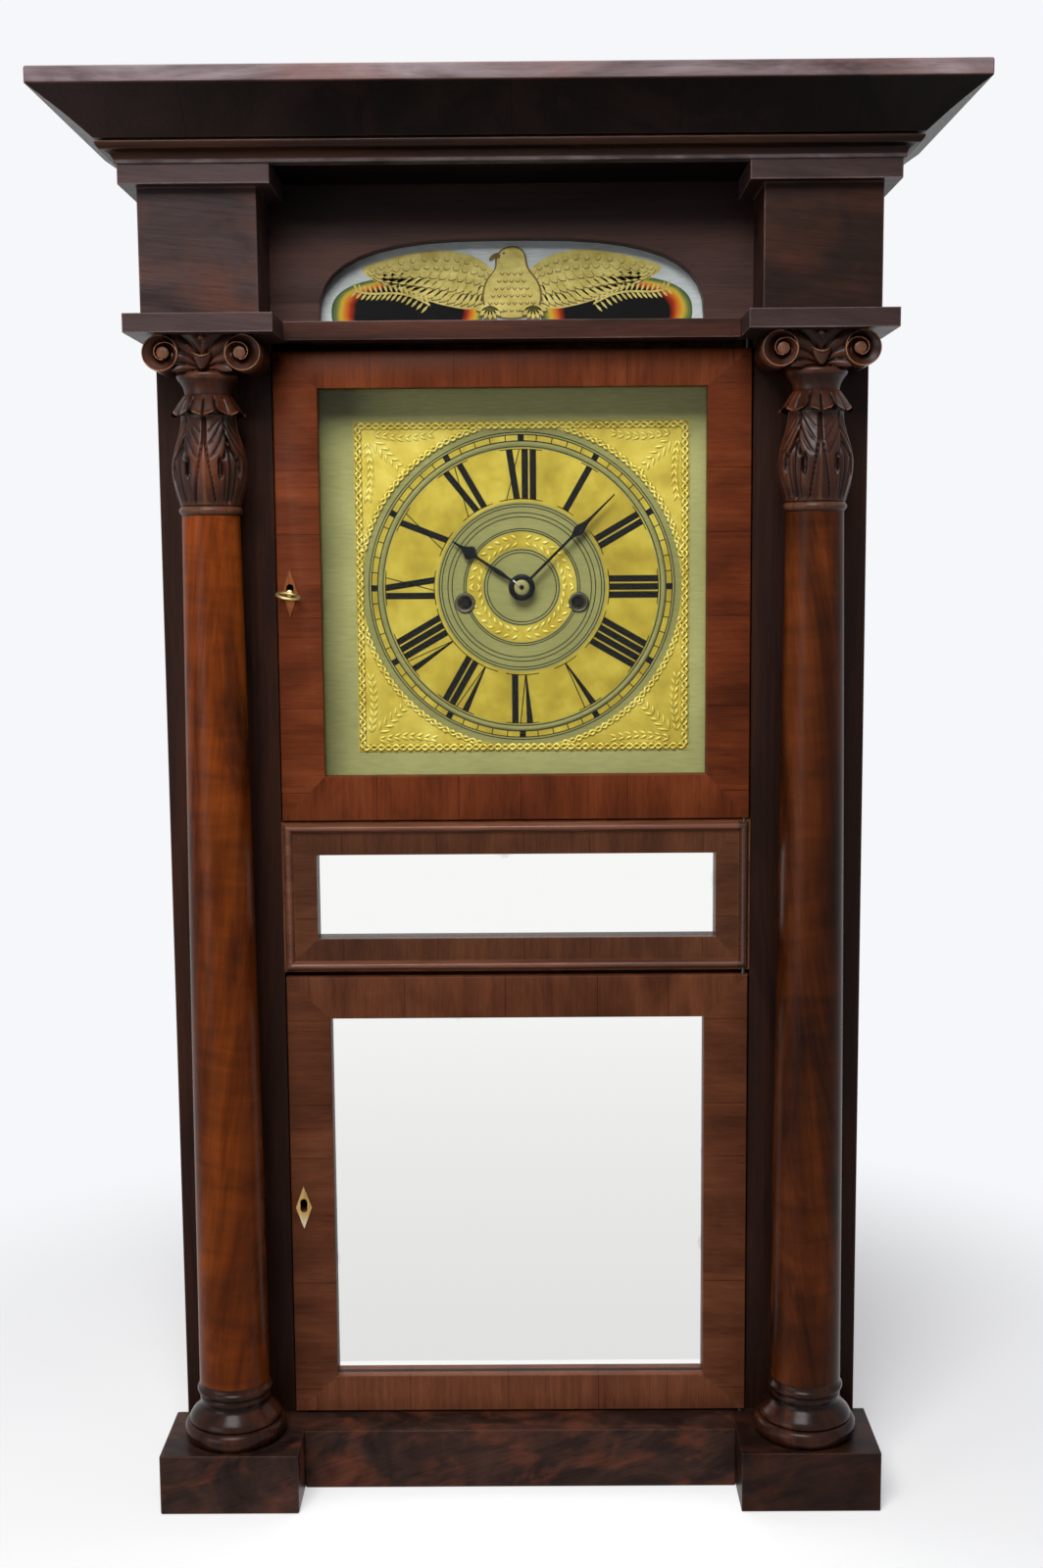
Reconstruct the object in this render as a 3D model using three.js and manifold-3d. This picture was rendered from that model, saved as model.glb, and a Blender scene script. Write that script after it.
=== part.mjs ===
// Weight-driven striking shelf clock: two doors, a mirror panel between them, carved columns, flared cornice.
// Millimetres, +Z up, the front faces -Y, origin on the floor under the middle of the clock.
import * as THREE from 'three';
import { mergeVertices } from 'three/addons/utils/BufferGeometryUtils.js';
import Module from 'manifold-3d';

const wasm = await Module();
wasm.setup();

// How far a cutter, or a piece joined to another, runs past the face it meets
const bite = 1;

// Case, from side to side
const doorWidth = 332.8;
const doorGap = 1.1;
const stileWidth = 80;
const stileThickness = 14;
const sideThickness = 12;
const floorThickness = 12;
const backThickness = 8;
const columnInset = 41.3;
const columnReach = 33.5;

// Case, from the floor up
const plinthHeight = 43;
const lowerDoorHeight = 328.7;
const middleHeight = 109;
const upperDoorHeight = 328.5;
const doorFootGap = 1.6;
const lowerDoorTopGap = 3.7;
const upperDoorFootGap = 1;
const upperDoorTopGap = 5.4;
const plateThickness = 12.6;
const blockHeight = 81.9;
const roofThickness = 12;
const corniceHeight = 40;
const topThickness = 10;

// How far each front piece stands out from the face of the stiles
const plinthReach = 70.7;
const apronReach = 33;
const ledgeReach = 20;
const blockReach = 57.7;
const roofReach = 59.5;
const doorReach = 4.2;
const middleReach = 2;

// Plinths, imposts and frieze
const plinthWidth = 98.4;
const blockWidth = 78.6;
const plateOverhang = 10.3;
const friezeThickness = 12;
const lunetteWidth = 267;
const lunetteRise = 56;
const lunetteSill = 1.5;
const lunettePower = 2.9;
const friezeGlassLap = 6;
const friezeGlassThickness = 2.5;

// Cornice section, measured outward from the edge of the roof board
const bedFoot = 10.4;
const bedFillet = 2;
const bedHead = 19.3;
const bedHeight = 10.6;
const flareFoot = 19.8;
const flareFootHeight = 12.8;
const flareHead = 54.7;
const flareWall = 15;

// Columns
const baseHeight = 43;
const torusRadius = 36.5;
const torusHeight = 14;
const lipRadius = 29.5;
const lipHeight = 5;
const scotiaRadius = 23.5;
const scotiaHeight = 13;
const filletRadius = 24.3;
const filletHeight = 4;
const baseRingRadius = 26.6;
const shaftFootRadius = 25.1;
const shaftHeadRadius = 20.3;
const shaftSwell = 0.7;
const neckRingRadius = 22;
const neckRingHeight = 7;
const bellHeight = 60;
const bellFootRadius = 20.6;
const bellRadius = 25.4;
const bellHeadRadius = 18.8;
const collarHeight = 13;
const collarRadius = 24.9;
const neckHeight = 15;
const neckRadius = 14.7;
const neckLipRadius = 18.5;
const bellSwell = 0.42;
const ringRound = 2;
const petalSwell = 0.6;
const leafCount = 8;
const leafDepth = 1.1;
const petalDepth = 1.6;
const capHeight = 23.9;
const capWidth = 78.8;
const capDepth = 48;
const scrollRelief = 2.5;
const scrollTurns = 1.6;
const scrollBand = 2.2;
const scrollEyeRadius = 3.6;
const capCoreWidth = 42;
const columnSides = 20;
const carvedSides = 24;

// Doors and middle panel
const doorThickness = 20;
const upperStile = 30.8;
const upperTopRail = 25.5;
const upperFootRail = 32;
const lowerStile = 31.3;
const lowerTopRail = 30.7;
const lowerFootRail = 27;
const rabbetWidth = 6;
const rabbetDepth = 10;
const paneThickness = 2.5;
const paneGap = 0.3;
const middleThickness = 16;
const middleStile = 24.5;
const middleRail = 24;
const beadWidth = 9.5;
const beadHeight = 4;
const hingeInset = 3.4;
const hingeReach = 2;
const hingePinRadius = 1.25;
const hingePinLength = 6;
const hingePinGap = 0.3;

// Locks and key
const keyholeInset = 9.2;
const upperKeyholeHeight = 161.7;
const lowerKeyholeHeight = 157.1;
const escutcheonWidth = 13.4;
const escutcheonHeight = 34;
const escutcheonThickness = 1;
const keyholeRadius = 2.6;
const keyholeSlotWidth = 3;
const keyholeSlotDrop = 8.5;
const lockWidth = 28;
const lockHeight = 40;
const lockDepth = 9;
const lockWall = 1.5;
const lockInset = 1;
const boltWidth = 22;
const boltHeight = 6;
const boltDepth = 5;
const boltRise = 8;
const slideGap = 0.3;
const keyShankRadius = 2.1;
const keyShankLength = 32;
const keyBitReach = 5.5;
const keyBitLength = 4;
const keyBitThickness = 1.6;
const keyBowWidth = 18;
const keyBowLength = 15;
const keyBowThickness = 2.4;
const keyBowBar = 3;

// Dial and hands
const dialWidth = 322;
const dialHeight = 306;
const dialRecess = 32;
const dialThickness = 9;
const dialCentreX = 5.5;
const dialCentreHeight = 164.5;
const dialFootLength = 7;
const dialFootRadius = 3;
const winderSpan = 82;
const winderDrop = 11;
const winderHoleRadius = 5;
const grommetRadius = 7.2;
const grommetHeight = 1.6;
const minuteAngle = 45.5;
const hourAngle = 303.8;
const bulbOutline = [[0.14, 0.24], [0.25, 0.74], [0.36, 1], [0.49, 0.9], [0.62, 0.52], [0.78, 0.2]];
const handTipWidth = 0.5;
const minuteLength = 93.5;
const minuteBulbPlace = 60;
const minuteBulbLength = 20;
const minuteBulbWidth = 7.4;
const minuteHubRadius = 8.7;
const hourLength = 59.5;
const hourBulbPlace = 46;
const hourBulbLength = 15;
const hourBulbWidth = 10.6;
const hourSpindlePlace = 22;
const hourSpindleWidth = 3.6;
const hourHubRadius = 6.6;
const handBarWidth = 2;
const handThickness = 1.2;
const handSpacing = 2;
const hourHandLift = 3.8;

// Movement
const arborSides = 10;
const movementPlate = 2;
const trainSpace = 36;
const pendulumSpace = 14;
const movementHalfWidth = 90;
const movementFoot = 58;
const movementHead = 92;
const pillarRadius = 4;
const pillarInset = 10;
const pivotRadius = 1.3;
const pivotGap = 0.3;
const arborRadius = 2;
const centreArborRadius = 1.8;
const wheelThickness = 2;
const greatWheelThickness = 3;
const pinionExtra = 1.5;
const drumRadius = 11.5;
const drumFlangeRadius = 15;
const drumFlange = 1.5;
const drumLength = 20;
const drumArborRadius = 4;
const winderSquare = 5.4;
const winderRecess = 2;
const greatWheelGap = 6;
const drumGap = 1.5;
const centreWheelGap = 4;
const thirdWheelGap = 6;
const escapeWheelGap = 5;
const slimArborRadius = 1.5;
const greatTeeth = 72;
const centreTeeth = 60;
const thirdTeeth = 54;
const escapeTeeth = 40;
const strikeTeeth = 54;
const leaves = 6;
const centreModule = 0.8;
const thirdModule = 0.75;
const strikeModule = 1.2;
const strikeRise = 75;
const escapeRadius = 20;
const escapeToothDepth = 3.4;
const toothRoot = 1.25;
const toothTip = 0.85;
const leafRoot = 1.05;
const leafTip = 0.65;
const leafRootWidth = 0.48;
const leafTipWidth = 0.14;
const cannonLeaves = 8;
const minuteTeeth = 24;
const hourTeeth = 32;
const cannonModule = 1.125;
const motionWheel = 1.5;
const motionGap = 1;
const cannonPipeRadius = 3.1;
const hourPipeRadius = 4.5;
const hourPipeGap = 0.4;
const vergeRise = 27;
const palletSpan = 16;
const palletDrop = 11.5;
const palletWidth = 2.4;
const palletHeel = 3.6;
const palletToe = 1.6;
const anchorHalf = 3;
const anchorHead = 3.2;
const anchorFoot = 3.4;
const vergeThickness = 3;
const crutchGap = 2;
const crutchLength = 45;
const crutchWidth = 3;
const crutchThickness = 1.5;
const forkGap = 0.5;
const forkWidth = 1.2;
const forkOverrun = 2;
const cockWidth = 12;
const cockHeight = 10;
const cockRise = 4;
const cockClearance = 3;
const cockWall = 2;
const springWidth = 4;
const springThickness = 0.8;
const springSlot = 2.2;
const springDrop = 5;
const pendulumLength = 248;
const rodRadius = 1;
const bobRadius = 28;
const bobThickness = 10;
const pinWheelRadius = 19;
const pinCircle = 15;
const pinCount = 8;
const pinRadius = 1;
const pinLength = 4;
const hammerX = 66;
const hammerRise = 60;
const hammerArm = 52;
const hammerTail = 18;
const hammerBar = 3;
const hammerHeadRadius = 4;
const hammerHeadLength = 11;
const hammerGap = 1.5;
const hammerSideGap = 1;
const bellGongRadius = 24;
const bellGongDepth = 24;
const bellGongWall = 2;
const bellPostRadius = 3;

// Weights
const weightWidth = 52;
const weightHeight = 170;
const weightGap = 5;
const weightSetback = 10;
const weightEyeRadius = 6;
const weightEyeWire = 1.6;

// Levels and widths that follow from the sizes above
const caseHalf = doorWidth / 2 + doorGap + stileWidth;
const openingHalf = doorWidth / 2 + doorGap;
const doorHalf = doorWidth / 2;
const columnX = caseHalf - columnInset;
const lowerDoorFoot = plinthHeight + doorFootGap;
const lowerDoorHead = lowerDoorFoot + lowerDoorHeight;
const middleFoot = lowerDoorHead + lowerDoorTopGap;
const middleHead = middleFoot + middleHeight;
const upperDoorFoot = middleHead + upperDoorFootGap;
const upperDoorHead = upperDoorFoot + upperDoorHeight;
const shelfLevel = upperDoorHead + upperDoorTopGap;
const blockFoot = shelfLevel + plateThickness;
const roofLevel = blockFoot + blockHeight + plateThickness;
const topLevel = roofLevel + corniceHeight;
const corniceReach = roofReach + flareHead;

// Depths, as reach from the stile face, so that what lies behind it is negative
const dialFace = -dialRecess;
const dialBack = dialFace - dialThickness;
const frontPlateFace = dialBack - dialFootLength;
const frontPlateBack = frontPlateFace - movementPlate;
const backPlateFace = frontPlateBack - trainSpace;
const backPlateBack = backPlateFace - movementPlate;
const backboardFace = backPlateBack - pendulumSpace;
const caseBack = backboardFace - backThickness;
const stileY = (corniceReach + caseBack) / 2;

// Finishes
function finish(color, roughness, metalness = 0) {
  return new THREE.MeshStandardMaterial({ color, roughness, metalness });
}
const darkWood = finish(0x2e1a15, 0.4);
const redWood = finish(0x6a2f1c, 0.35);
const columnWood = finish(0x5a2a18, 0.3);
const rawWood = finish(0x8a6a48, 0.8);
const clearGlass = finish(0xdfe8e4, 0.05);
const silvered = finish(0xe8ebee, 0.05, 1);
const boneInlay = finish(0xd8ccb0, 0.5);
const brass = finish(0xb08d46, 0.35, 1);
const steel = finish(0x6d6f73, 0.4, 1);
const blackenedSteel = finish(0x17171b, 0.4, 1);
const castIron = finish(0x3a3b3d, 0.7, 1);
const paintedDial = finish(0xa0a573, 0.5);

const clock = new THREE.Group();

function add(name, geometry, material) {
  const mesh = new THREE.Mesh(geometry, material);
  mesh.name = name;
  clock.add(mesh);
}

// Closed solid for joining and cutting
function solid(geometry) {
  const bare = geometry.clone();
  bare.deleteAttribute('normal');
  bare.deleteAttribute('uv');
  const merged = mergeVertices(bare, 1e-4);
  const corners = merged.index.array;
  const triangles = [];
  for (let i = 0; i < corners.length; i += 3) {
    const [a, b, c] = corners.slice(i, i + 3);
    if (a !== b && b !== c && c !== a) triangles.push(a, b, c);
  }
  const vertProperties = new Float32Array(merged.attributes.position.array);
  const triVerts = new Uint32Array(triangles);
  return new wasm.Manifold(new wasm.Mesh({ numProp: 3, vertProperties, triVerts }));
}

function geometryOf(body) {
  const mesh = body.getMesh();
  const geometry = new THREE.BufferGeometry();
  geometry.setAttribute('position', new THREE.BufferAttribute(new Float32Array(mesh.vertProperties), 3));
  geometry.setIndex(new THREE.BufferAttribute(new Uint32Array(mesh.triVerts), 1));
  geometry.computeVertexNormals();
  return geometry;
}

function joined(...geometries) {
  return geometryOf(geometries.map(solid).reduce((body, piece) => body.add(piece)));
}

function cut(geometry, ...tools) {
  return geometryOf(tools.map(solid).reduce((body, tool) => body.subtract(tool), solid(geometry)));
}

// Block between two side planes, two reaches and two heights
function block(x0, x1, reach0, reach1, z0, z1) {
  const geometry = new THREE.BoxGeometry(x1 - x0, reach1 - reach0, z1 - z0);
  return geometry.translate((x0 + x1) / 2, stileY - (reach0 + reach1) / 2, (z0 + z1) / 2);
}

// Outline seen from the front, pushed out from one reach to another
function panel(outline, reach0, reach1, bevel = {}) {
  const options = { depth: reach1 - reach0, bevelEnabled: false, curveSegments: 6, ...bevel };
  return new THREE.ExtrudeGeometry(outline, options).rotateX(Math.PI / 2).translate(0, stileY - reach0, 0);
}

// Turned piece on an upright axis, from a profile of [radius, height] pairs
function turned(profile, sides) {
  const points = profile.map(([radius, height]) => new THREE.Vector2(radius, height));
  return new THREE.LatheGeometry(points, sides).rotateX(Math.PI / 2);
}

// Turned piece on an axis from back to front, from a profile of [radius, reach] pairs
function spindle(profile, x, z, sides = 12) {
  const points = profile.map(([radius, reach]) => new THREE.Vector2(radius, reach));
  return new THREE.LatheGeometry(points, sides).rotateX(Math.PI).translate(x, stileY, z);
}

function rod(radius, reach0, reach1, x, z, sides = 12) {
  return spindle([[0, reach0], [radius, reach0], [radius, reach1], [0, reach1]], x, z, sides);
}

function upright(radius, z0, z1, x, reach, sides = 10) {
  return turned([[0, z0], [radius, z0], [radius, z1], [0, z1]], sides).translate(x, stileY - reach, 0);
}

function rectangle(x0, x1, z0, z1, Kind = THREE.Shape) {
  return new Kind([[x0, z0], [x1, z0], [x1, z1], [x0, z1]].map(([x, z]) => new THREE.Vector2(x, z)));
}

function polygon(points) {
  return new THREE.Shape(points.map(([x, z]) => new THREE.Vector2(x, z)));
}

function holed(outline, holes) {
  for (const [x, z, radius] of holes) {
    outline.holes.push(new THREE.Path().absarc(x, z, radius, 0, Math.PI * 2, true));
  }
  return outline;
}

// Case boards
const sideInner = caseHalf - sideThickness;
add('case_backboard', block(-caseHalf, caseHalf, caseBack, backboardFace, 0, topLevel), rawWood);
for (const [side, sign] of [['left', -1], ['right', 1]]) {
  const [x0, x1] = [sign * sideInner, sign * caseHalf].sort((a, b) => a - b);
  add(`case_side_${side}`, block(x0, x1, backboardFace, -stileThickness, 0, roofLevel), darkWood);
  const [s0, s1] = [sign * openingHalf, sign * caseHalf].sort((a, b) => a - b);
  add(`stile_${side}`, block(s0, s1, -stileThickness, 0, 0, roofLevel), darkWood);
}
const floorTop = plinthHeight;
const floorFoot = floorTop - floorThickness;
add('case_floor', block(-sideInner, sideInner, backboardFace, -stileThickness, floorFoot, floorTop), rawWood);
add('case_roof',
  block(-caseHalf, caseHalf, backboardFace, roofReach, roofLevel, roofLevel + roofThickness), darkWood);

// Plinths and the apron between them
const plinthInner = columnX - plinthWidth / 2;
const plinthOuter = columnX + plinthWidth / 2;
const hingeX = doorHalf - hingeInset;
function hingeHole(z0, z1) {
  return upright(hingePinRadius + hingePinGap, z0, z1, hingeX, hingeReach);
}
add('plinth_left', block(-plinthOuter, -plinthInner, 0, plinthReach, 0, plinthHeight), darkWood);
add('plinth_right', cut(block(plinthInner, plinthOuter, 0, plinthReach, 0, plinthHeight),
  hingeHole(plinthHeight - hingePinLength - bite, plinthHeight + bite)), darkWood);
add('apron', block(-plinthInner, plinthInner, -stileThickness, apronReach, 0, plinthHeight), darkWood);

// Imposts: a block with a plate under and over it, on the stile above each column
function impost(sign) {
  const half = blockWidth / 2;
  const plateHalf = half + plateOverhang;
  const x = sign * columnX;
  const plateReach = blockReach + plateOverhang;
  return joined(
    block(x - plateHalf, x + plateHalf, 0, plateReach, shelfLevel, blockFoot),
    block(x - half, x + half, 0, blockReach, blockFoot - bite, blockFoot + blockHeight + bite),
    block(x - plateHalf, x + plateHalf, 0, plateReach, blockFoot + blockHeight, roofLevel));
}
add('impost_left', impost(-1), darkWood);
add('impost_right',
  cut(impost(1), hingeHole(shelfLevel - bite, shelfLevel + hingePinLength + bite)), darkWood);

// Frieze: ledge, panel with its arched window, and the glass behind it
const plateInner = columnX - blockWidth / 2 - plateOverhang;
add('frieze_ledge',
  block(-plateInner, plateInner, -stileThickness, ledgeReach, shelfLevel, blockFoot), darkWood);
const sillLevel = blockFoot + lunetteSill;
function lunette() {
  const steps = 20;
  const points = [];
  for (let i = 0; i <= steps; i += 1) {
    const turn = Math.PI * i / steps;
    const across = Math.sign(Math.cos(turn)) * Math.abs(Math.cos(turn)) ** (2 / lunettePower);
    const up = Math.abs(Math.sin(turn)) ** (2 / lunettePower);
    points.push(new THREE.Vector2(across * lunetteWidth / 2, sillLevel + up * lunetteRise));
  }
  return new THREE.Path(points);
}
const friezeOutline = rectangle(-openingHalf, openingHalf, blockFoot, roofLevel);
friezeOutline.holes.push(lunette());
const friezeBack = -friezeThickness;
add('frieze_panel', panel(friezeOutline, friezeBack, 0), darkWood);
const friezeGlassHalf = lunetteWidth / 2 + friezeGlassLap;
add('frieze_glass', block(-friezeGlassHalf, friezeGlassHalf, friezeBack - friezeGlassThickness, friezeBack,
  blockFoot, sillLevel + lunetteRise + friezeGlassLap), clearGlass);

// Cornice: bed mould and flare on three sides of the roof board, mitred at the front corners
const bedHeadLevel = roofLevel + bedHeight;
const cavetto = [1, 2, 3].map((step) => {
  const turn = Math.PI / 2 * step / 4;
  const span = bedHead - bedFoot;
  const rise = bedHeight - bedFillet;
  return [bedHead - span * Math.cos(turn), bedHeadLevel - rise * (1 - Math.sin(turn))];
});
const corniceSection = polygon([
  [0, roofLevel],
  [bedFoot, roofLevel],
  [bedFoot, roofLevel + bedFillet],
  ...cavetto,
  [bedHead, bedHeadLevel],
  [flareFoot, roofLevel + flareFootHeight],
  [flareHead, topLevel],
  [flareHead - flareWall, topLevel],
  [0, roofLevel + roofThickness],
]);
function mitred(place) {
  const geometry = new THREE.ExtrudeGeometry(corniceSection, { depth: 1, bevelEnabled: false });
  const spots = geometry.attributes.position;
  for (let i = 0; i < spots.count; i += 1) {
    spots.setXYZ(i, ...place(spots.getX(i), 1 - spots.getZ(i), spots.getY(i)));
  }
  return geometry;
}
const roofFront = stileY - roofReach;
const backY = stileY - caseBack;
const mitre = (out) => roofFront - out;
add('cornice_front',
  mitred((out, along, z) => [(caseHalf + out) * (2 * along - 1), mitre(out), z]), darkWood);
add('cornice_left',
  mitred((out, along, z) => [-caseHalf - out, backY + (mitre(out) - backY) * along, z]), darkWood);
add('cornice_right',
  mitred((out, along, z) => [caseHalf + out, mitre(out) + (backY - mitre(out)) * along, z]), darkWood);
const topHalf = caseHalf + flareHead;
add('cornice_top',
  block(-topHalf, topHalf, caseBack, corniceReach, topLevel, topLevel + topThickness), darkWood);

// Columns: turned base, tapered shaft, carved capital and scrolled cap
function roundOver(inner, outer, z0, z1, steps) {
  const points = [];
  for (let i = 0; i <= steps; i += 1) {
    const turn = Math.PI * i / steps;
    points.push([inner + (outer - inner) * Math.sin(turn), z0 + (z1 - z0) * (1 - Math.cos(turn)) / 2]);
  }
  return points;
}
function hollowCurve(lower, upper, z0, z1, steps) {
  const points = [];
  for (let i = 0; i <= steps; i += 1) {
    const turn = Math.PI / 2 * i / steps;
    points.push([lower + (upper - lower) * Math.sin(turn), z0 + (z1 - z0) * (1 - Math.cos(turn))]);
  }
  return points;
}
const torusHead = plinthHeight + torusHeight;
const lipHead = torusHead + lipHeight;
const scotiaHead = lipHead + scotiaHeight;
const filletHead = scotiaHead + filletHeight;
const shaftFoot = plinthHeight + baseHeight;
const capFoot = shelfLevel - capHeight;
const neckFoot = capFoot - neckHeight;
const collarFoot = neckFoot - collarHeight;
const bellFoot = collarFoot - bellHeight;
const shaftHead = bellFoot - neckRingHeight;
const torusInner = (torusRadius + lipRadius) / 2;
const baseProfile = [
  [0, plinthHeight],
  ...roundOver(torusInner, torusRadius, plinthHeight, torusHead, 5),
  [lipRadius, torusHead],
  ...hollowCurve(lipRadius, scotiaRadius, lipHead, scotiaHead, 3),
  [filletRadius, scotiaHead],
  [filletRadius, filletHead],
  ...roundOver(filletRadius, baseRingRadius, filletHead, shaftFoot, 3).slice(1),
  [0, shaftFoot],
];
const shaftSteps = 4;
const shaftProfile = [[0, shaftFoot]];
for (let i = 0; i <= shaftSteps; i += 1) {
  const part = i / shaftSteps;
  const swell = shaftSwell * Math.sin(Math.PI * part);
  const radius = shaftFootRadius + (shaftHeadRadius - shaftFootRadius) * part + swell;
  shaftProfile.push([radius, shaftFoot + (shaftHead - shaftFoot) * part]);
}
shaftProfile.push([0, shaftHead]);

// Capital: ring, leafy bell, petal collar and hollow neck
const capitalProfile = [
  [0, shaftHead],
  ...roundOver(neckRingRadius - ringRound, neckRingRadius, shaftHead, bellFoot, 3),
  [bellFootRadius, bellFoot + ringRound / 2],
  [(bellFootRadius + bellRadius * 2) / 3, bellFoot + bellHeight * bellSwell / 2],
  [bellRadius, bellFoot + bellHeight * bellSwell],
  [(bellRadius * 2 + bellHeadRadius) / 3, bellFoot + bellHeight * (1 + bellSwell) / 2],
  [bellHeadRadius, collarFoot],
  [collarRadius, collarFoot + ringRound / 2],
  [(collarRadius + neckRadius + ringRound) / 2, collarFoot + collarHeight * petalSwell],
  [neckRadius + ringRound / 2, neckFoot],
  ...hollowCurve(neckLipRadius, neckRadius, capFoot - ringRound, neckFoot + ringRound / 2, 3).reverse(),
  [neckLipRadius, capFoot],
  [0, capFoot],
];
function carved(profile, sides) {
  const geometry = turned(profile, sides);
  const spots = geometry.attributes.position;
  for (let i = 0; i < spots.count; i += 1) {
    const [x, y, z] = [spots.getX(i), spots.getY(i), spots.getZ(i)];
    const radius = Math.hypot(x, y);
    const inBell = z > bellFoot + ringRound && z < collarFoot - ringRound;
    const onPetals = z > collarFoot + ringRound / 4 && z < neckFoot - ringRound / 2;
    if (radius > 0 && (inBell || onPetals)) {
      const wave = Math.cos(leafCount * Math.atan2(x, y));
      const swing = inBell ? leafDepth * wave : petalDepth * wave;
      spots.setXYZ(i, x * (1 + swing / radius), y * (1 + swing / radius), z);
    }
  }
  return geometry;
}

// Cap: a roll with a spiral face on each side of a plain core
const scrollRadius = capHeight / 2;
const scrollX = capWidth / 2 - scrollRadius;
const scrollZ = capFoot + scrollRadius;
const capFront = columnReach + capDepth / 2;
const capRear = columnReach - capDepth / 2;
function spiralBand(x, sign) {
  const steps = 16;
  const outer = [];
  const inner = [];
  for (let i = 0; i <= steps; i += 1) {
    const turn = Math.PI / 2 + sign * Math.PI * 2 * scrollTurns * i / steps;
    const radius = scrollRadius + (scrollEyeRadius + bite - scrollRadius) * i / steps;
    const hollow = radius - scrollBand;
    outer.push([x + radius * Math.cos(turn), scrollZ + radius * Math.sin(turn)]);
    inner.push([x + hollow * Math.cos(turn), scrollZ + hollow * Math.sin(turn)]);
  }
  return polygon([...outer, ...inner.reverse()]);
}
function scrolledCap(axis) {
  const core = block(axis - capCoreWidth / 2, axis + capCoreWidth / 2, capRear, capFront - 2 * scrollRelief,
    capFoot, shelfLevel);
  const pieces = [core];
  for (const sign of [-1, 1]) {
    const x = axis + sign * scrollX;
    pieces.push(rod(scrollRadius, capRear, capFront - scrollRelief, x, scrollZ, 16));
    pieces.push(panel(spiralBand(x, -sign), capFront - scrollRelief - bite, capFront));
    pieces.push(rod(scrollEyeRadius, capFront - scrollRelief - bite, capFront, x, scrollZ, 8));
  }
  return joined(...pieces);
}
for (const [side, sign] of [['left', -1], ['right', 1]]) {
  const axis = sign * columnX;
  const axisY = stileY - columnReach;
  const behindStile = block(axis - torusRadius, axis + torusRadius, -torusRadius, paneGap, 0, shelfLevel);
  const base = turned(baseProfile, columnSides).translate(axis, axisY, 0);
  add(`column_base_${side}`, cut(base, behindStile), columnWood);
  add(`column_shaft_${side}`, turned(shaftProfile, columnSides).translate(axis, axisY, 0), columnWood);
  add(`column_capital_${side}`, carved(capitalProfile, carvedSides).translate(axis, axisY, 0), columnWood);
  add(`column_cap_${side}`, scrolledCap(axis), columnWood);
}

// Frame with a pane set into a rabbet behind it
function glazed(half, foot, head, opening, reach, thickness) {
  const outline = rectangle(-half, half, foot, head);
  outline.holes.push(rectangle(-opening.half, opening.half, opening.foot, opening.head, THREE.Path));
  const back = reach - thickness;
  const rabbetHalf = opening.half + rabbetWidth;
  const rabbet = block(-rabbetHalf, rabbetHalf, back - bite, reach - rabbetDepth, opening.foot - rabbetWidth,
    opening.head + rabbetWidth);
  return cut(panel(outline, back, reach), rabbet);
}
function pane(opening, reach) {
  const lap = rabbetWidth - paneGap;
  const face = reach - rabbetDepth;
  return block(-opening.half - lap, opening.half + lap, face - paneThickness, face,
    opening.foot - lap, opening.head + lap);
}

// Middle panel with its half-round bead and mirror
const middleOpening = {
  half: openingHalf - middleStile,
  foot: middleFoot + middleRail,
  head: middleHead - middleRail,
};
const beadOutline = rectangle(-doorHalf, doorHalf, middleFoot, middleHead);
beadOutline.holes.push(rectangle(-doorHalf + beadWidth, doorHalf - beadWidth, middleFoot + beadWidth,
  middleHead - beadWidth, THREE.Path));
const beadRound = beadHeight - bite;
const bead = panel(beadOutline, middleReach - beadRound, middleReach + bite, {
  bevelEnabled: true,
  bevelThickness: beadRound,
  bevelSize: beadRound,
  bevelOffset: -beadRound,
  bevelSegments: 3,
});
const middleFrame = glazed(openingHalf, middleFoot, middleHead, middleOpening, middleReach, middleThickness);
add('middle_panel', cut(joined(middleFrame, bead),
  hingeHole(middleFoot - bite, middleFoot + hingePinLength + bite),
  hingeHole(middleHead - hingePinLength - bite, middleHead + bite)), redWood);
add('middle_mirror', pane(middleOpening, middleReach), silvered);

// Doors, each on two pins driven into its right-hand edge
const keyholeX = -doorHalf + keyholeInset;
const upperKeyZ = upperDoorFoot + upperKeyholeHeight;
const lowerKeyZ = lowerDoorFoot + lowerKeyholeHeight;
const doorBack = doorReach - doorThickness;
function keyhole(z, Kind) {
  const half = keyholeSlotWidth / 2;
  const start = -Math.acos(half / keyholeRadius);
  const hole = new Kind();
  hole.absarc(keyholeX, z, keyholeRadius, start, Math.PI - start, false);
  hole.lineTo(keyholeX - half, z - keyholeSlotDrop);
  hole.lineTo(keyholeX + half, z - keyholeSlotDrop);
  return hole;
}
const upperOpening = {
  half: doorHalf - upperStile,
  foot: upperDoorFoot + upperFootRail,
  head: upperDoorHead - upperTopRail,
};
const lowerOpening = {
  half: doorHalf - lowerStile,
  foot: lowerDoorFoot + lowerFootRail,
  head: lowerDoorHead - lowerTopRail,
};
function door(foot, head, footGap, headGap, opening, keyZ) {
  const frame = glazed(doorHalf, foot, head, opening, doorReach, doorThickness);
  const bored = cut(frame, panel(keyhole(keyZ, THREE.Shape), doorBack - bite, doorReach + bite));
  return joined(bored,
    upright(hingePinRadius, foot - footGap - hingePinLength, foot + hingePinLength, hingeX, hingeReach),
    upright(hingePinRadius, head - hingePinLength, head + headGap + hingePinLength, hingeX, hingeReach));
}
add('upper_door_frame',
  door(upperDoorFoot, upperDoorHead, upperDoorFootGap, upperDoorTopGap, upperOpening, upperKeyZ), redWood);
add('upper_door_glass', pane(upperOpening, doorReach), clearGlass);
add('lower_door_frame',
  door(lowerDoorFoot, lowerDoorHead, doorFootGap, lowerDoorTopGap, lowerOpening, lowerKeyZ), redWood);
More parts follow.
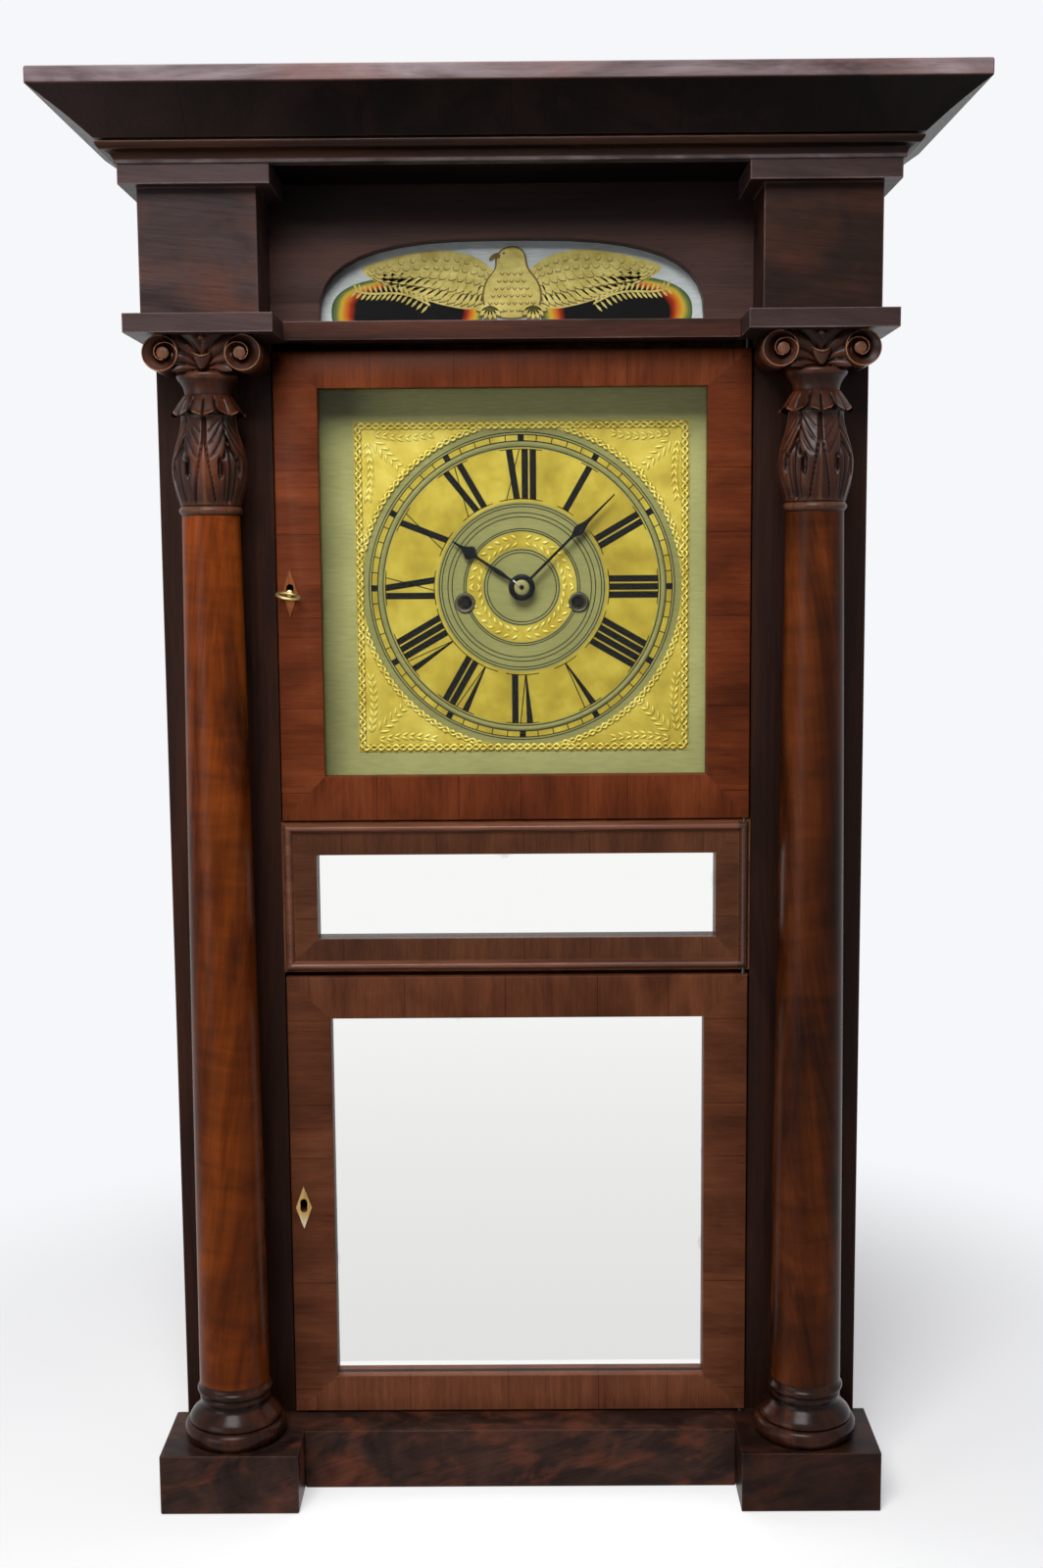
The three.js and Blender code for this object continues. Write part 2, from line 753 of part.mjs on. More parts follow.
add('lower_door_mirror', pane(lowerOpening, doorReach), silvered);

// Escutcheons
function escutcheon(z) {
  const lozenge = polygon([[keyholeX, z - escutcheonHeight / 2], [keyholeX + escutcheonWidth / 2, z],
    [keyholeX, z + escutcheonHeight / 2], [keyholeX - escutcheonWidth / 2, z]]);
  lozenge.holes.push(keyhole(z, THREE.Path));
  return panel(lozenge, doorReach, doorReach + escutcheonThickness);
}
add('upper_escutcheon', escutcheon(upperKeyZ), redWood);
add('lower_escutcheon', escutcheon(lowerKeyZ), boneInlay);

// Locks: an open-backed case on the back of the door, with a bolt that slides out past the stile
const lockLeft = -doorHalf + lockInset;
const boltFace = doorBack - (lockDepth - boltDepth) / 2;
function lockCase(z) {
  const half = lockHeight / 2;
  const boltFoot = z + boltRise;
  return cut(
    block(lockLeft, lockLeft + lockWidth, doorBack - lockDepth, doorBack, z - half, z + half),
    block(lockLeft + lockWall, lockLeft + lockWidth - lockWall, doorBack - lockDepth - bite,
      doorBack - lockWall, z - half + lockWall, z + half - lockWall),
    block(lockLeft - bite, lockLeft + lockWall + bite, boltFace - boltDepth - slideGap, boltFace + slideGap,
      boltFoot - slideGap, boltFoot + boltHeight + slideGap),
    panel(keyhole(z, THREE.Shape), doorBack - lockDepth, doorBack + bite));
}
function bolt(z) {
  return block(lockLeft, lockLeft + boltWidth, boltFace - boltDepth, boltFace, z + boltRise,
    z + boltRise + boltHeight);
}
for (const [tier, z] of [['upper', upperKeyZ], ['lower', lowerKeyZ]]) {
  add(`${tier}_lock`, lockCase(z), steel);
  add(`${tier}_bolt`, bolt(z), brass);
}

// Key, left in the upper lock with its bow level
const keyTip = doorBack - lockDepth + lockWall;
const keyBowFoot = keyTip + keyShankLength;
function keyBow() {
  const bow = new THREE.Shape();
  const middle = stileY - keyBowFoot - keyBowLength / 2 + bite;
  bow.absellipse(keyholeX, middle, keyBowWidth / 2, keyBowLength / 2, 0, Math.PI * 2, false, 0);
  const gap = new THREE.Path();
  const [across, along] = [keyBowWidth / 2 - keyBowBar, keyBowLength / 2 - keyBowBar];
  gap.absellipse(keyholeX, middle, across, along, 0, Math.PI * 2, true, 0);
  bow.holes.push(gap);
  const options = { depth: keyBowThickness, bevelEnabled: false, curveSegments: 6 };
  const geometry = new THREE.ExtrudeGeometry(bow, options);
  return geometry.translate(0, 0, upperKeyZ - keyBowThickness / 2);
}
add('door_key', joined(
  rod(keyShankRadius, keyTip, keyBowFoot + bite, keyholeX, upperKeyZ, 10),
  block(keyholeX, keyholeX + keyBitReach, keyTip, keyTip + keyBitLength, upperKeyZ - keyBitThickness / 2,
    upperKeyZ + keyBitThickness / 2),
  keyBow()), brass);

// Dial board with bushed winding holes and four feet that stand on the movement
const dialZ = upperDoorFoot + dialCentreHeight;
const winders = [-1, 1].map((side) => [dialCentreX + side * winderSpan / 2, dialZ - winderDrop]);
const dialHole = hourPipeRadius + slideGap * 2;
const dialSheet = rectangle(-dialWidth / 2, dialWidth / 2, dialZ - dialHeight / 2, dialZ + dialHeight / 2);
const winderHoles = winders.map(([x, z]) => [x, z, winderHoleRadius]);
const dialOutline = holed(dialSheet, [[dialCentreX, dialZ, dialHole], ...winderHoles]);
const grommetProfile = [
  [winderHoleRadius, dialFace - bite],
  [grommetRadius, dialFace - bite],
  [grommetRadius, dialFace + grommetHeight / 2],
  [(grommetRadius + winderHoleRadius) / 2, dialFace + grommetHeight],
  [winderHoleRadius, dialFace + grommetHeight / 2],
  [winderHoleRadius, dialFace - bite],
];
const grommets = winders.map(([x, z]) => spindle(grommetProfile, x, z));
const corners = [];
for (const x of [-1, 1]) {
  corners.push([dialCentreX + x * (movementHalfWidth - pillarInset), dialZ - movementFoot + pillarInset]);
  corners.push([dialCentreX + x * (movementHalfWidth - pillarInset), dialZ + movementHead - pillarInset]);
}
const dialFeet = corners.map(([x, z]) => rod(dialFootRadius, frontPlateFace, dialBack + bite, x, z, 8));
add('dial_board', joined(panel(dialOutline, dialBack, dialFace), ...grommets, ...dialFeet), paintedDial);

// Wheel teeth with pointed roots, and pinion leaves that mesh with them
function toothed(teeth, pitchRadius, module, phase, x, z) {
  const points = [];
  const pitch = Math.PI * 2 / teeth;
  for (let i = 0; i < teeth; i += 1) {
    const middle = phase + i * pitch;
    const spots = [[-0.5, pitchRadius - toothRoot * module], [0, pitchRadius + toothTip * module]];
    for (const [offset, radius] of spots) {
      const turn = middle + offset * pitch;
      points.push([x + radius * Math.cos(turn), z + radius * Math.sin(turn)]);
    }
  }
  return polygon(points);
}
function leaved(count, pitchRadius, module, phase, x, z) {
  const points = [];
  const pitch = Math.PI * 2 / count;
  for (let i = 0; i < count; i += 1) {
    const middle = phase + i * pitch;
    const root = pitchRadius - leafRoot * module;
    const tip = pitchRadius + leafTip * module;
    const spots = [[-leafRootWidth / 2, root], [-leafTipWidth / 2, tip], [leafTipWidth / 2, tip],
      [leafRootWidth / 2, root]];
    for (const [offset, radius] of spots) {
      const turn = middle + offset * pitch;
      points.push([x + radius * Math.cos(turn), z + radius * Math.sin(turn)]);
    }
  }
  return polygon(points);
}
// A wheel and the pinion that it drives, in mesh: a tooth faces a space on the line of centres
function meshed(wheel, pinion) {
  const toward = Math.atan2(pinion.z - wheel.z, pinion.x - wheel.x);
  return { wheelPhase: toward, pinionPhase: toward + Math.PI + Math.PI / pinion.count };
}

// Train positions
const centre = { x: dialCentreX, z: dialZ };
const timeMain = { x: winders[0][0], z: winders[0][1] };
const strikeMain = { x: winders[1][0], z: winders[1][1] };
const greatModule = 2 * Math.hypot(winderSpan / 2, winderDrop) / (greatTeeth + leaves);
const third = { x: centre.x, z: centre.z + centreModule * (centreTeeth + leaves) / 2 };
const escape = { x: centre.x, z: third.z + thirdModule * (thirdTeeth + leaves) / 2 };
const verge = { x: centre.x, z: escape.z + vergeRise };
const strikeDistance = strikeModule * (strikeTeeth + leaves) / 2;
const strikeTurn = THREE.MathUtils.degToRad(strikeRise);
const pinArbor = {
  x: strikeMain.x + strikeDistance * Math.cos(strikeTurn),
  z: strikeMain.z + strikeDistance * Math.sin(strikeTurn),
};
const motionDistance = cannonModule * (cannonLeaves + minuteTeeth) / 2;
const hourModule = 2 * motionDistance / (cannonLeaves + hourTeeth);
const minuteStud = { x: centre.x, z: centre.z - motionDistance };
const hammerArbor = { x: centre.x + hammerX, z: centre.z + hammerRise };
const greatMesh = meshed(timeMain, { ...centre, count: leaves });
const centreMesh = meshed(centre, { ...third, count: leaves });
const thirdMesh = meshed(third, { ...escape, count: leaves });
const strikeMesh = meshed(strikeMain, { ...pinArbor, count: leaves });
const cannonMesh = meshed(minuteStud, { ...centre, count: cannonLeaves });
const hourMesh = meshed(centre, { ...minuteStud, count: cannonLeaves });

// Movement plates, with a hole for each arbor; the back plate carries the pillars, feet and suspension cock
const plateHoles = [
  [third.x, third.z, pivotRadius + pivotGap],
  [escape.x, escape.z, pivotRadius + pivotGap],
  [verge.x, verge.z, pivotRadius + pivotGap],
  [pinArbor.x, pinArbor.z, pivotRadius + pivotGap],
  [hammerArbor.x, hammerArbor.z, pivotRadius + pivotGap],
];
function plateOutline() {
  return rectangle(centre.x - movementHalfWidth, centre.x + movementHalfWidth, centre.z - movementFoot,
    centre.z + movementHead);
}
const frontPlate = holed(plateOutline(), [
  ...plateHoles,
  [centre.x, centre.z, centreArborRadius + pivotGap],
  [timeMain.x, timeMain.z, drumArborRadius + pivotGap],
  [strikeMain.x, strikeMain.z, drumArborRadius + pivotGap],
  [minuteStud.x, minuteStud.z, pivotRadius + pivotGap],
]);
add('movement_front_plate', panel(frontPlate, frontPlateBack, frontPlateFace), brass);
const backPlate = holed(plateOutline(), [
  ...plateHoles,
  [centre.x, centre.z, pivotRadius + pivotGap],
  [timeMain.x, timeMain.z, arborRadius + pivotGap],
  [strikeMain.x, strikeMain.z, arborRadius + pivotGap],
]);
const pillars = corners.map(([x, z]) => rod(pillarRadius, backboardFace, frontPlateBack, x, z, 8));
const cockFoot = verge.z + cockRise;
const cockBack = backboardFace + cockClearance;
const springReach = backPlateBack - pendulumSpace / 2;
const cock = cut(
  block(verge.x - cockWidth / 2, verge.x + cockWidth / 2, cockBack, backPlateBack + bite, cockFoot,
    cockFoot + cockHeight),
  block(verge.x - springSlot / 2, verge.x + springSlot / 2, cockBack - bite,
    springReach + springWidth / 2 + slideGap, cockFoot - bite, cockFoot + cockHeight - cockWall));
const backPlateBody = panel(backPlate, backPlateBack, backPlateFace);
add('movement_back_plate', joined(backPlateBody, ...pillars, cock), brass);

// Main wheels and the drums that they ride on
const greatReach = backPlateFace + greatWheelGap;
const greatFace = greatReach + greatWheelThickness;
const drumBack = greatFace + drumGap;
const drumFace = drumBack + drumFlange * 2 + drumLength;
function greatWheel(main, teeth, module, phase) {
  const outline = toothed(teeth, module * teeth / 2, module, phase, main.x, main.z);
  return panel(holed(outline, [[main.x, main.z, drumArborRadius + pivotGap]]), greatReach, greatFace);
}
function drum(main) {
  const front = dialFace - winderRecess;
  const squareHalf = winderSquare / 2;
  const body = spindle([
    [0, backPlateBack],
    [arborRadius, backPlateBack],
    [arborRadius, backPlateFace],
    [drumArborRadius, backPlateFace],
    [drumArborRadius, drumBack],
    [drumFlangeRadius, drumBack],
    [drumFlangeRadius, drumBack + drumFlange],
    [drumRadius, drumBack + drumFlange],
    [drumRadius, drumFace - drumFlange],
    [drumFlangeRadius, drumFace - drumFlange],
    [drumFlangeRadius, drumFace],
    [drumArborRadius, drumFace],
    [drumArborRadius, dialBack],
    [0, dialBack],
  ], main.x, main.z);
  const square = block(main.x - squareHalf, main.x + squareHalf, dialBack - bite, front, main.z - squareHalf,
    main.z + squareHalf);
  return joined(body, square);
}
add('time_great_wheel', greatWheel(timeMain, greatTeeth, greatModule, greatMesh.wheelPhase), brass);
add('strike_great_wheel', greatWheel(strikeMain, strikeTeeth, strikeModule, strikeMesh.wheelPhase), brass);
add('time_drum', drum(timeMain), steel);
add('strike_drum', drum(strikeMain), steel);

// Upper wheels of the going train; each is an arbor with its wheel and pinion
function arborFoot(radius) {
  const pivot = [[0, backPlateBack], [pivotRadius, backPlateBack], [pivotRadius, backPlateFace]];
  return [...pivot, [radius, backPlateFace]];
}
function arbor(radius, place) {
  const head = [[radius, frontPlateBack], [pivotRadius, frontPlateBack], [pivotRadius, frontPlateFace],
    [0, frontPlateFace]];
  return spindle([...arborFoot(radius), ...head], place.x, place.z, arborSides);
}
const centreWheelFace = frontPlateBack - centreWheelGap;
const thirdWheelFace = centreWheelFace - wheelThickness - thirdWheelGap;
const escapeWheelFace = thirdWheelFace - wheelThickness - escapeWheelGap;
const cannonReach = frontPlateFace + motionGap;
const cannonFace = cannonReach + motionWheel;
const hourReach = cannonFace + motionGap;
const hourFace = hourReach + motionWheel;
const hourHandBack = dialFace + hourHandLift;
const minuteHandBack = hourHandBack + handThickness + handSpacing;
const arborTip = minuteHandBack + handThickness + bite;
function pinionFor(reach0, reach1, count, module, phase, place) {
  return panel(leaved(count, module * count / 2, module, phase, place.x, place.z), reach0 - pinionExtra,
    reach1 + pinionExtra);
}
function wheel(teeth, module, phase, place, face) {
  const outline = toothed(teeth, module * teeth / 2, module, phase, place.x, place.z);
  return panel(outline, face - wheelThickness, face);
}
add('centre_wheel', joined(
  spindle([...arborFoot(centreArborRadius), [centreArborRadius, arborTip], [0, arborTip]], centre.x, centre.z,
    arborSides),
  pinionFor(greatReach, greatFace, leaves, greatModule, greatMesh.pinionPhase, centre),
  wheel(centreTeeth, centreModule, centreMesh.wheelPhase, centre, centreWheelFace)), brass);
add('third_wheel', joined(
  arbor(slimArborRadius, third),
  pinionFor(centreWheelFace - wheelThickness, centreWheelFace, leaves, centreModule, centreMesh.pinionPhase,
    third),
  wheel(thirdTeeth, thirdModule, thirdMesh.wheelPhase, third, thirdWheelFace)), brass);
const escapeOutline = [];
for (let i = 0; i < escapeTeeth; i += 1) {
  const turn = Math.PI * 2 * i / escapeTeeth;
  const rootTurn = turn + Math.PI / escapeTeeth;
  const root = escapeRadius - escapeToothDepth;
  escapeOutline.push([escape.x + escapeRadius * Math.cos(turn), escape.z + escapeRadius * Math.sin(turn)]);
  escapeOutline.push([escape.x + root * Math.cos(rootTurn), escape.z + root * Math.sin(rootTurn)]);
}
add('escape_wheel', joined(
  rod(pivotRadius, backPlateBack, frontPlateFace, escape.x, escape.z, arborSides),
  pinionFor(thirdWheelFace - wheelThickness, thirdWheelFace, leaves, thirdModule, thirdMesh.pinionPhase,
    escape),
  panel(polygon(escapeOutline), escapeWheelFace - wheelThickness, escapeWheelFace)), brass);

// Motion work: the minute wheel on its stud, and the hour wheel on the hour hand's pipe
add('minute_wheel', joined(
  rod(pivotRadius, frontPlateBack, hourFace + bite / 2, minuteStud.x, minuteStud.z, arborSides),
  panel(toothed(minuteTeeth, cannonModule * minuteTeeth / 2, cannonModule, cannonMesh.wheelPhase,
    minuteStud.x, minuteStud.z), cannonReach, cannonFace),
  panel(leaved(cannonLeaves, hourModule * cannonLeaves / 2, hourModule, hourMesh.pinionPhase, minuteStud.x,
    minuteStud.z), cannonFace - bite / 2, hourFace)), brass);

// Hands: a slim bar with a leaf-shaped bulb near the tip; drawn at twelve, then turned to the time
function handBar(length, bulbs) {
  const half = handBarWidth / 2;
  const right = [[half, 0]];
  for (const { place, long, wide } of bulbs) {
    const foot = place - long / 2;
    const swell = wide / 2 - half;
    right.push([half, foot]);
    right.push(...bulbOutline.map(([along, share]) => [half + swell * share, foot + long * along]));
    right.push([half, foot + long]);
  }
  right.push([half * handTipWidth, length]);
  const left = right.map(([x, z]) => [-x, z]).reverse();
  return [...right, ...left];
}
function hand(length, bulbs, hubRadius, bore, angle, back) {
  const turn = -THREE.MathUtils.degToRad(angle);
  const points = handBar(length, bulbs).map(([x, z]) => [
    centre.x + x * Math.cos(turn) - z * Math.sin(turn),
    centre.z + x * Math.sin(turn) + z * Math.cos(turn)]);
  const bar = panel(polygon(points), back, back + handThickness);
  const hub = rod(hubRadius, back, back + handThickness, centre.x, centre.z, 16);
  const hole = rod(bore, back - bite, back + handThickness + bite, centre.x, centre.z);
  return cut(joined(bar, hub), hole);
}
const minuteBulbs = [{ place: minuteBulbPlace, long: minuteBulbLength, wide: minuteBulbWidth }];
const hourBulbs = [
  { place: hourSpindlePlace, long: hourSpindlePlace, wide: hourSpindleWidth },
  { place: hourBulbPlace, long: hourBulbLength, wide: hourBulbWidth },
];
// Pipe of a hand, with its wheel at the back end
function pipe(bore, radius, back, front) {
  const profile = [[bore, back], [radius, back], [radius, front], [bore, front], [bore, back]];
  return spindle(profile, centre.x, centre.z);
}
const cannonBore = centreArborRadius + pivotGap;
const cannonSeat = (cannonBore + cannonPipeRadius) / 2;
const cannonOutline = leaved(cannonLeaves, cannonModule * cannonLeaves / 2, cannonModule,
  cannonMesh.pinionPhase, centre.x, centre.z);
add('minute_hand', joined(
  hand(minuteLength, minuteBulbs, minuteHubRadius, cannonSeat, minuteAngle, minuteHandBack),
  pipe(cannonBore, cannonPipeRadius, cannonReach, minuteHandBack + handThickness),
  panel(holed(cannonOutline, [[centre.x, centre.z, cannonSeat]]), cannonReach, cannonFace)), blackenedSteel);
const hourBore = cannonPipeRadius + hourPipeGap;
const hourSeat = (hourBore + hourPipeRadius) / 2;
const hourOutline = toothed(hourTeeth, hourModule * hourTeeth / 2, hourModule, hourMesh.wheelPhase, centre.x,
  centre.z);
add('hour_hand', joined(
  hand(hourLength, hourBulbs, hourHubRadius, hourSeat, hourAngle, hourHandBack),
  pipe(hourBore, hourPipeRadius, hourReach, hourHandBack + handThickness),
  panel(holed(hourOutline, [[centre.x, centre.z, hourSeat]]), hourReach, hourFace)), blackenedSteel);

// Verge: anchor pallets just clear of the escape wheel, with a crutch behind the back plate
const palletFace = escapeWheelFace + (vergeThickness - wheelThickness) / 2;
const anchorRight = [
  [anchorHalf, anchorHead],
  [palletSpan + palletWidth / 2, palletHeel - palletDrop],
  [palletSpan, -palletDrop],
  [palletSpan - palletWidth, palletToe - palletDrop],
  [anchorHalf, -anchorFoot],
];
const anchorLeft = anchorRight.map(([x, z]) => [-x, z]).reverse();
const anchor = polygon([...anchorRight, ...anchorLeft].map(([x, z]) => [verge.x + x, verge.z + z]));
const crutchFace = backPlateBack - crutchGap;
const crutchBack = crutchFace - crutchThickness;
const crutchFoot = verge.z - crutchLength;
const forkBack = springReach - rodRadius - forkOverrun;
const forkInner = rodRadius + forkGap;
const forkOuter = forkInner + forkWidth;
function prong(sign) {
  const [x0, x1] = [sign * forkInner, sign * forkOuter].sort((a, b) => a - b);
  return block(verge.x + x0, verge.x + x1, forkBack, crutchFace, crutchFoot, crutchFoot + crutchWidth);
}
add('verge', joined(
  rod(pivotRadius, crutchBack, frontPlateFace, verge.x, verge.z, arborSides),
  panel(anchor, palletFace - vergeThickness, palletFace),
  block(verge.x - crutchWidth / 2, verge.x + crutchWidth / 2, crutchBack, crutchFace, crutchFoot,
    verge.z + crutchWidth),
  prong(-1), prong(1),
  block(verge.x - forkOuter, verge.x + forkOuter, crutchBack, crutchFace, crutchFoot,
    crutchFoot + crutchWidth)), steel);

// Pendulum: spring in the cock's slot, wire rod and lens-shaped bob
const bobZ = verge.z - pendulumLength;
const bobSteps = 6;
const bobProfile = [];
for (let i = 0; i <= bobSteps; i += 1) {
  const turn = Math.PI * i / bobSteps;
  const onAxis = i === 0 || i === bobSteps;
  const radius = onAxis ? 0 : bobRadius * Math.sin(turn);
  bobProfile.push([radius, springReach - bobThickness / 2 * Math.cos(turn)]);
}
add('pendulum', joined(
  block(verge.x - springThickness / 2, verge.x + springThickness / 2, springReach - springWidth / 2,
    springReach + springWidth / 2, verge.z - springDrop - bite, cockFoot + cockHeight - 2 * cockWall),
  upright(rodRadius, bobZ, verge.z - springDrop, verge.x, springReach, 8),
  spindle(bobProfile, verge.x, bobZ, 20)), brass);

// Strike side: pin wheel, hammer and bell
const pinWheelFace = thirdWheelFace;
const pins = [];
for (let i = 0; i < pinCount; i += 1) {
  const turn = Math.PI * 2 * i / pinCount;
  pins.push(rod(pinRadius, pinWheelFace - wheelThickness - pinLength, pinWheelFace - bite,
    pinArbor.x + pinCircle * Math.cos(turn), pinArbor.z + pinCircle * Math.sin(turn), 6));
}
add('strike_pin_wheel', joined(
  arbor(slimArborRadius, pinArbor),
  pinionFor(greatReach, greatFace, leaves, strikeModule, strikeMesh.pinionPhase, pinArbor),
  rod(pinWheelRadius, pinWheelFace - wheelThickness, pinWheelFace, pinArbor.x, pinArbor.z, 20),
  ...pins), brass);
const hammerFace = pinWheelFace - wheelThickness - hammerSideGap;
const hammerHeadZ = hammerArbor.z + hammerArm;
const hammerHead = upright(hammerHeadRadius, -hammerHeadLength / 2, hammerHeadLength / 2, 0, 0, 12)
  .translate(0, -stileY, 0)
  .rotateY(Math.PI / 2)
  .translate(hammerArbor.x, stileY - hammerFace + hammerBar / 2, hammerHeadZ);
add('hammer', joined(
  rod(pivotRadius, backPlateBack, frontPlateFace, hammerArbor.x, hammerArbor.z, arborSides),
  block(hammerArbor.x - hammerBar / 2, hammerArbor.x + hammerBar / 2, hammerFace - hammerBar, hammerFace,
    hammerArbor.z - hammerTail, hammerHeadZ),
  hammerHead), steel);
const gongX = hammerArbor.x - hammerHeadLength / 2 - hammerGap - bellGongRadius;
const gongRim = hammerFace - hammerBar / 2 - hammerHeadRadius;
const gongCrown = gongRim + bellGongDepth;
const gongSteps = 5;
const gongProfile = [
  [0, backboardFace],
  [bellPostRadius, backboardFace],
  [bellPostRadius, gongCrown - bellGongWall],
];
for (let i = 1; i <= gongSteps; i += 1) {
  const turn = Math.PI / 2 * (1 - i / gongSteps);
  const radius = bellGongRadius - bellGongWall;
  gongProfile.push([radius * Math.cos(turn), gongRim + (bellGongDepth - bellGongWall) * Math.sin(turn)]);
}
for (let i = 0; i < gongSteps; i += 1) {
  const turn = Math.PI / 2 * i / gongSteps;
  gongProfile.push([bellGongRadius * Math.cos(turn), gongRim + bellGongDepth * Math.sin(turn)]);
}
gongProfile.push([0, gongCrown]);
add('bell', spindle(gongProfile, gongX, hammerHeadZ, 16), brass);

// Weights, standing on the case floor
const weightX = sideInner - weightGap - weightWidth / 2;
const weightFace = -stileThickness - weightSetback;
for (const [side, sign] of [['time', -1], ['strike', 1]]) {
  const x = sign * weightX;
  const half = weightWidth / 2;
  const body = block(x - half, x + half, weightFace - weightWidth, weightFace, floorTop,
    floorTop + weightHeight);
  const eye = new THREE.TorusGeometry(weightEyeRadius, weightEyeWire, 5, 10).rotateX(Math.PI / 2)
    .translate(x, stileY - weightFace + half, floorTop + weightHeight + weightEyeRadius / 2);
  add(`${side}_weight`, joined(body, eye), castIron);
}

export default clock;
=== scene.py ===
"""Shelf clock with carved columns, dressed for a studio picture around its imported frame."""
from functools import partial
import math
import bmesh
import bpy
from mathutils import Matrix, Vector


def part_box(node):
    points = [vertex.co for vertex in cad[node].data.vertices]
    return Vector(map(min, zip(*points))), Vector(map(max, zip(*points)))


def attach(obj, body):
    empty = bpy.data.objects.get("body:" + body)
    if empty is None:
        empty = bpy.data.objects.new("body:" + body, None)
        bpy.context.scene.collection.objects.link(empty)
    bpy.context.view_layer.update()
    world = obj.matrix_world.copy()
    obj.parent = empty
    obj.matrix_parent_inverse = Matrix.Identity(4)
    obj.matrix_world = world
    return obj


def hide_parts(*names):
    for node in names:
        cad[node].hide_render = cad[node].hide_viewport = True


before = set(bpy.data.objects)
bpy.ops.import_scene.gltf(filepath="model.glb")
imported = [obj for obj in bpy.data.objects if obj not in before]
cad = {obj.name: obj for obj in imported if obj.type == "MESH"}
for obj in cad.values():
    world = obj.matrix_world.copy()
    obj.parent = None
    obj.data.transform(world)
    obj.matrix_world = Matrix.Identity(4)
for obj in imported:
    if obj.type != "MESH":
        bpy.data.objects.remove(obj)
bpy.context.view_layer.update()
scene = bpy.context.scene
scene.view_settings.view_transform = "Standard"
mm = 0.001

# Studio: a pale floor that fades into a white surround, one large soft lamp high in front and a little
# to the left, a weaker one low at the left, and a camera above the middle of the clock, tipped down.
camera_place = Vector((10.68, -1300.4, 665.46)) * mm
camera_turn, camera_dip, camera_roll = [math.radians(angle) for angle in (-0.28, 6.99, 0.43)]
camera_data = bpy.data.cameras.new("camera")
camera_data.lens = 42.18
camera_data.sensor_width = 36
camera_data.shift_y = 0.00578
camera = bpy.data.objects.new("camera", camera_data)
camera.matrix_world = (Matrix.Translation(camera_place) @ Matrix.Rotation(-camera_turn, 4, "Z")
                       @ Matrix.Rotation(math.pi / 2 - camera_dip, 4, "X")
                       @ Matrix.Rotation(-camera_roll, 4, "Z"))
scene.collection.objects.link(camera)
scene.camera = camera


def wire(tree, socket, value):
    if isinstance(value, bpy.types.Node):
        value = value.outputs[0]
    if isinstance(value, bpy.types.NodeSocket):
        tree.links.new(value, socket)
    elif socket.type == "RGBA":
        socket.default_value = (*value, 1.0)
    else:
        socket.default_value = value


def put(tree, kind, *feeds, **named):
    made = tree.nodes.new("ShaderNode" + kind)
    for key in sorted(named, reverse=True):
        if key[0].islower():
            setattr(made, key, named[key])
        else:
            wire(tree, made.inputs[key.replace("_", " ")], named[key])
    for socket, value in zip(made.inputs, feeds):
        wire(tree, socket, value)
    return made


def reckon(tree, operation, *feeds):
    return put(tree, "Math", *feeds, operation=operation)


def spread(tree, value, low, high, to_low, to_high):
    return put(tree, "MapRange", value, low, high, to_low, to_high)


def vary(tree, noise, low, high):
    return spread(tree, noise, 0.3, 0.7, low, high)


def place(tree):
    return put(tree, "TexCoord").outputs["Object"]


def parts(tree):
    return put(tree, "SeparateXYZ", place(tree)).outputs


def cloud(tree, spot, scale, detail, rough=0.5, swirl=0.0):
    return put(tree, "TexNoise", spot, Scale=scale, Detail=detail, Roughness=rough, Distortion=swirl)


def start(name):
    finish = bpy.data.materials.new(name)
    finish.use_nodes = True
    finish.node_tree.nodes.clear()
    return finish, finish.node_tree


def seen_directly(tree):
    path = put(tree, "LightPath").outputs
    bounced = reckon(tree, "MAXIMUM", path["Is Glossy Ray"], path["Is Transmission Ray"])
    return reckon(tree, "MAXIMUM", path["Is Camera Ray"], bounced)


surround_light = 0.1
backdrop = (0.925, 0.93, 0.955)
surround = bpy.data.worlds.new("studio_surround")
surround.use_nodes = True
scene.world = surround
tree = surround.node_tree
tree.nodes.clear()
glow = spread(tree, seen_directly(tree), 0, 1, surround_light, 1.0)
put(tree, "OutputWorld", put(tree, "Background", Color=backdrop, Strength=glow))

floor_reach = 5.0
floor_drop = 0.0004
fade_from, fade_to = 0.34, 0.85
reflected_strip_edge = (0.168, 0.178)
floor_finish, tree = start("studio_floor")
spot = place(tree)
away = put(tree, "VectorMath", spot, operation="LENGTH").outputs["Value"]
fade = put(tree, "MapRange", away, fade_from, fade_to, 0.0, 1.0, interpolation_type="SMOOTHSTEP")
lit = put(tree, "BsdfDiffuse", Color=vary(tree, cloud(tree, spot, 3.0, 3.0), 0.7, 0.74))
seen = seen_directly(tree)
lift = put(tree, "Emission", Color=backdrop, Strength=spread(tree, seen, 0, 1, 0.0, 0.4))
shine = put(tree, "Emission", Color=backdrop, Strength=spread(tree, seen, 0, 1, surround_light, 1.0))
sheet = put(tree, "MixShader", fade, put(tree, "AddShader", lit, lift), shine)
# Seen in reflections the floor is not lit but glows: near white within about 17 cm of the clock and
# grey-white rising to white beyond, a painted reflection that gives each mirror a white band at its foot.
ahead = reckon(tree, "MULTIPLY", parts(tree)["Y"], -1.0)
reflected_strip = spread(tree, ahead, *reflected_strip_edge, 0.97, 0.0)
reflected_floor_glow = reckon(tree, "MAXIMUM", reflected_strip, spread(tree, ahead, 0.17, 1.6, 0.78, 0.96))
mirrored = put(tree, "LightPath").outputs["Is Glossy Ray"]
put(tree, "OutputMaterial", put(tree, "MixShader", mirrored, sheet, put(tree, "Emission", Strength=reflected_floor_glow)))
floor_mesh = bpy.data.meshes.new("studio_floor")
corners = ((-1, -1), (1, -1), (1, 1), (-1, 1))
floor_mesh.from_pydata([(x * floor_reach, y * floor_reach, 0) for x, y in corners], [], [(0, 1, 2, 3)])
floor_mesh.materials.append(floor_finish)
floor = bpy.data.objects.new("studio_floor", floor_mesh)
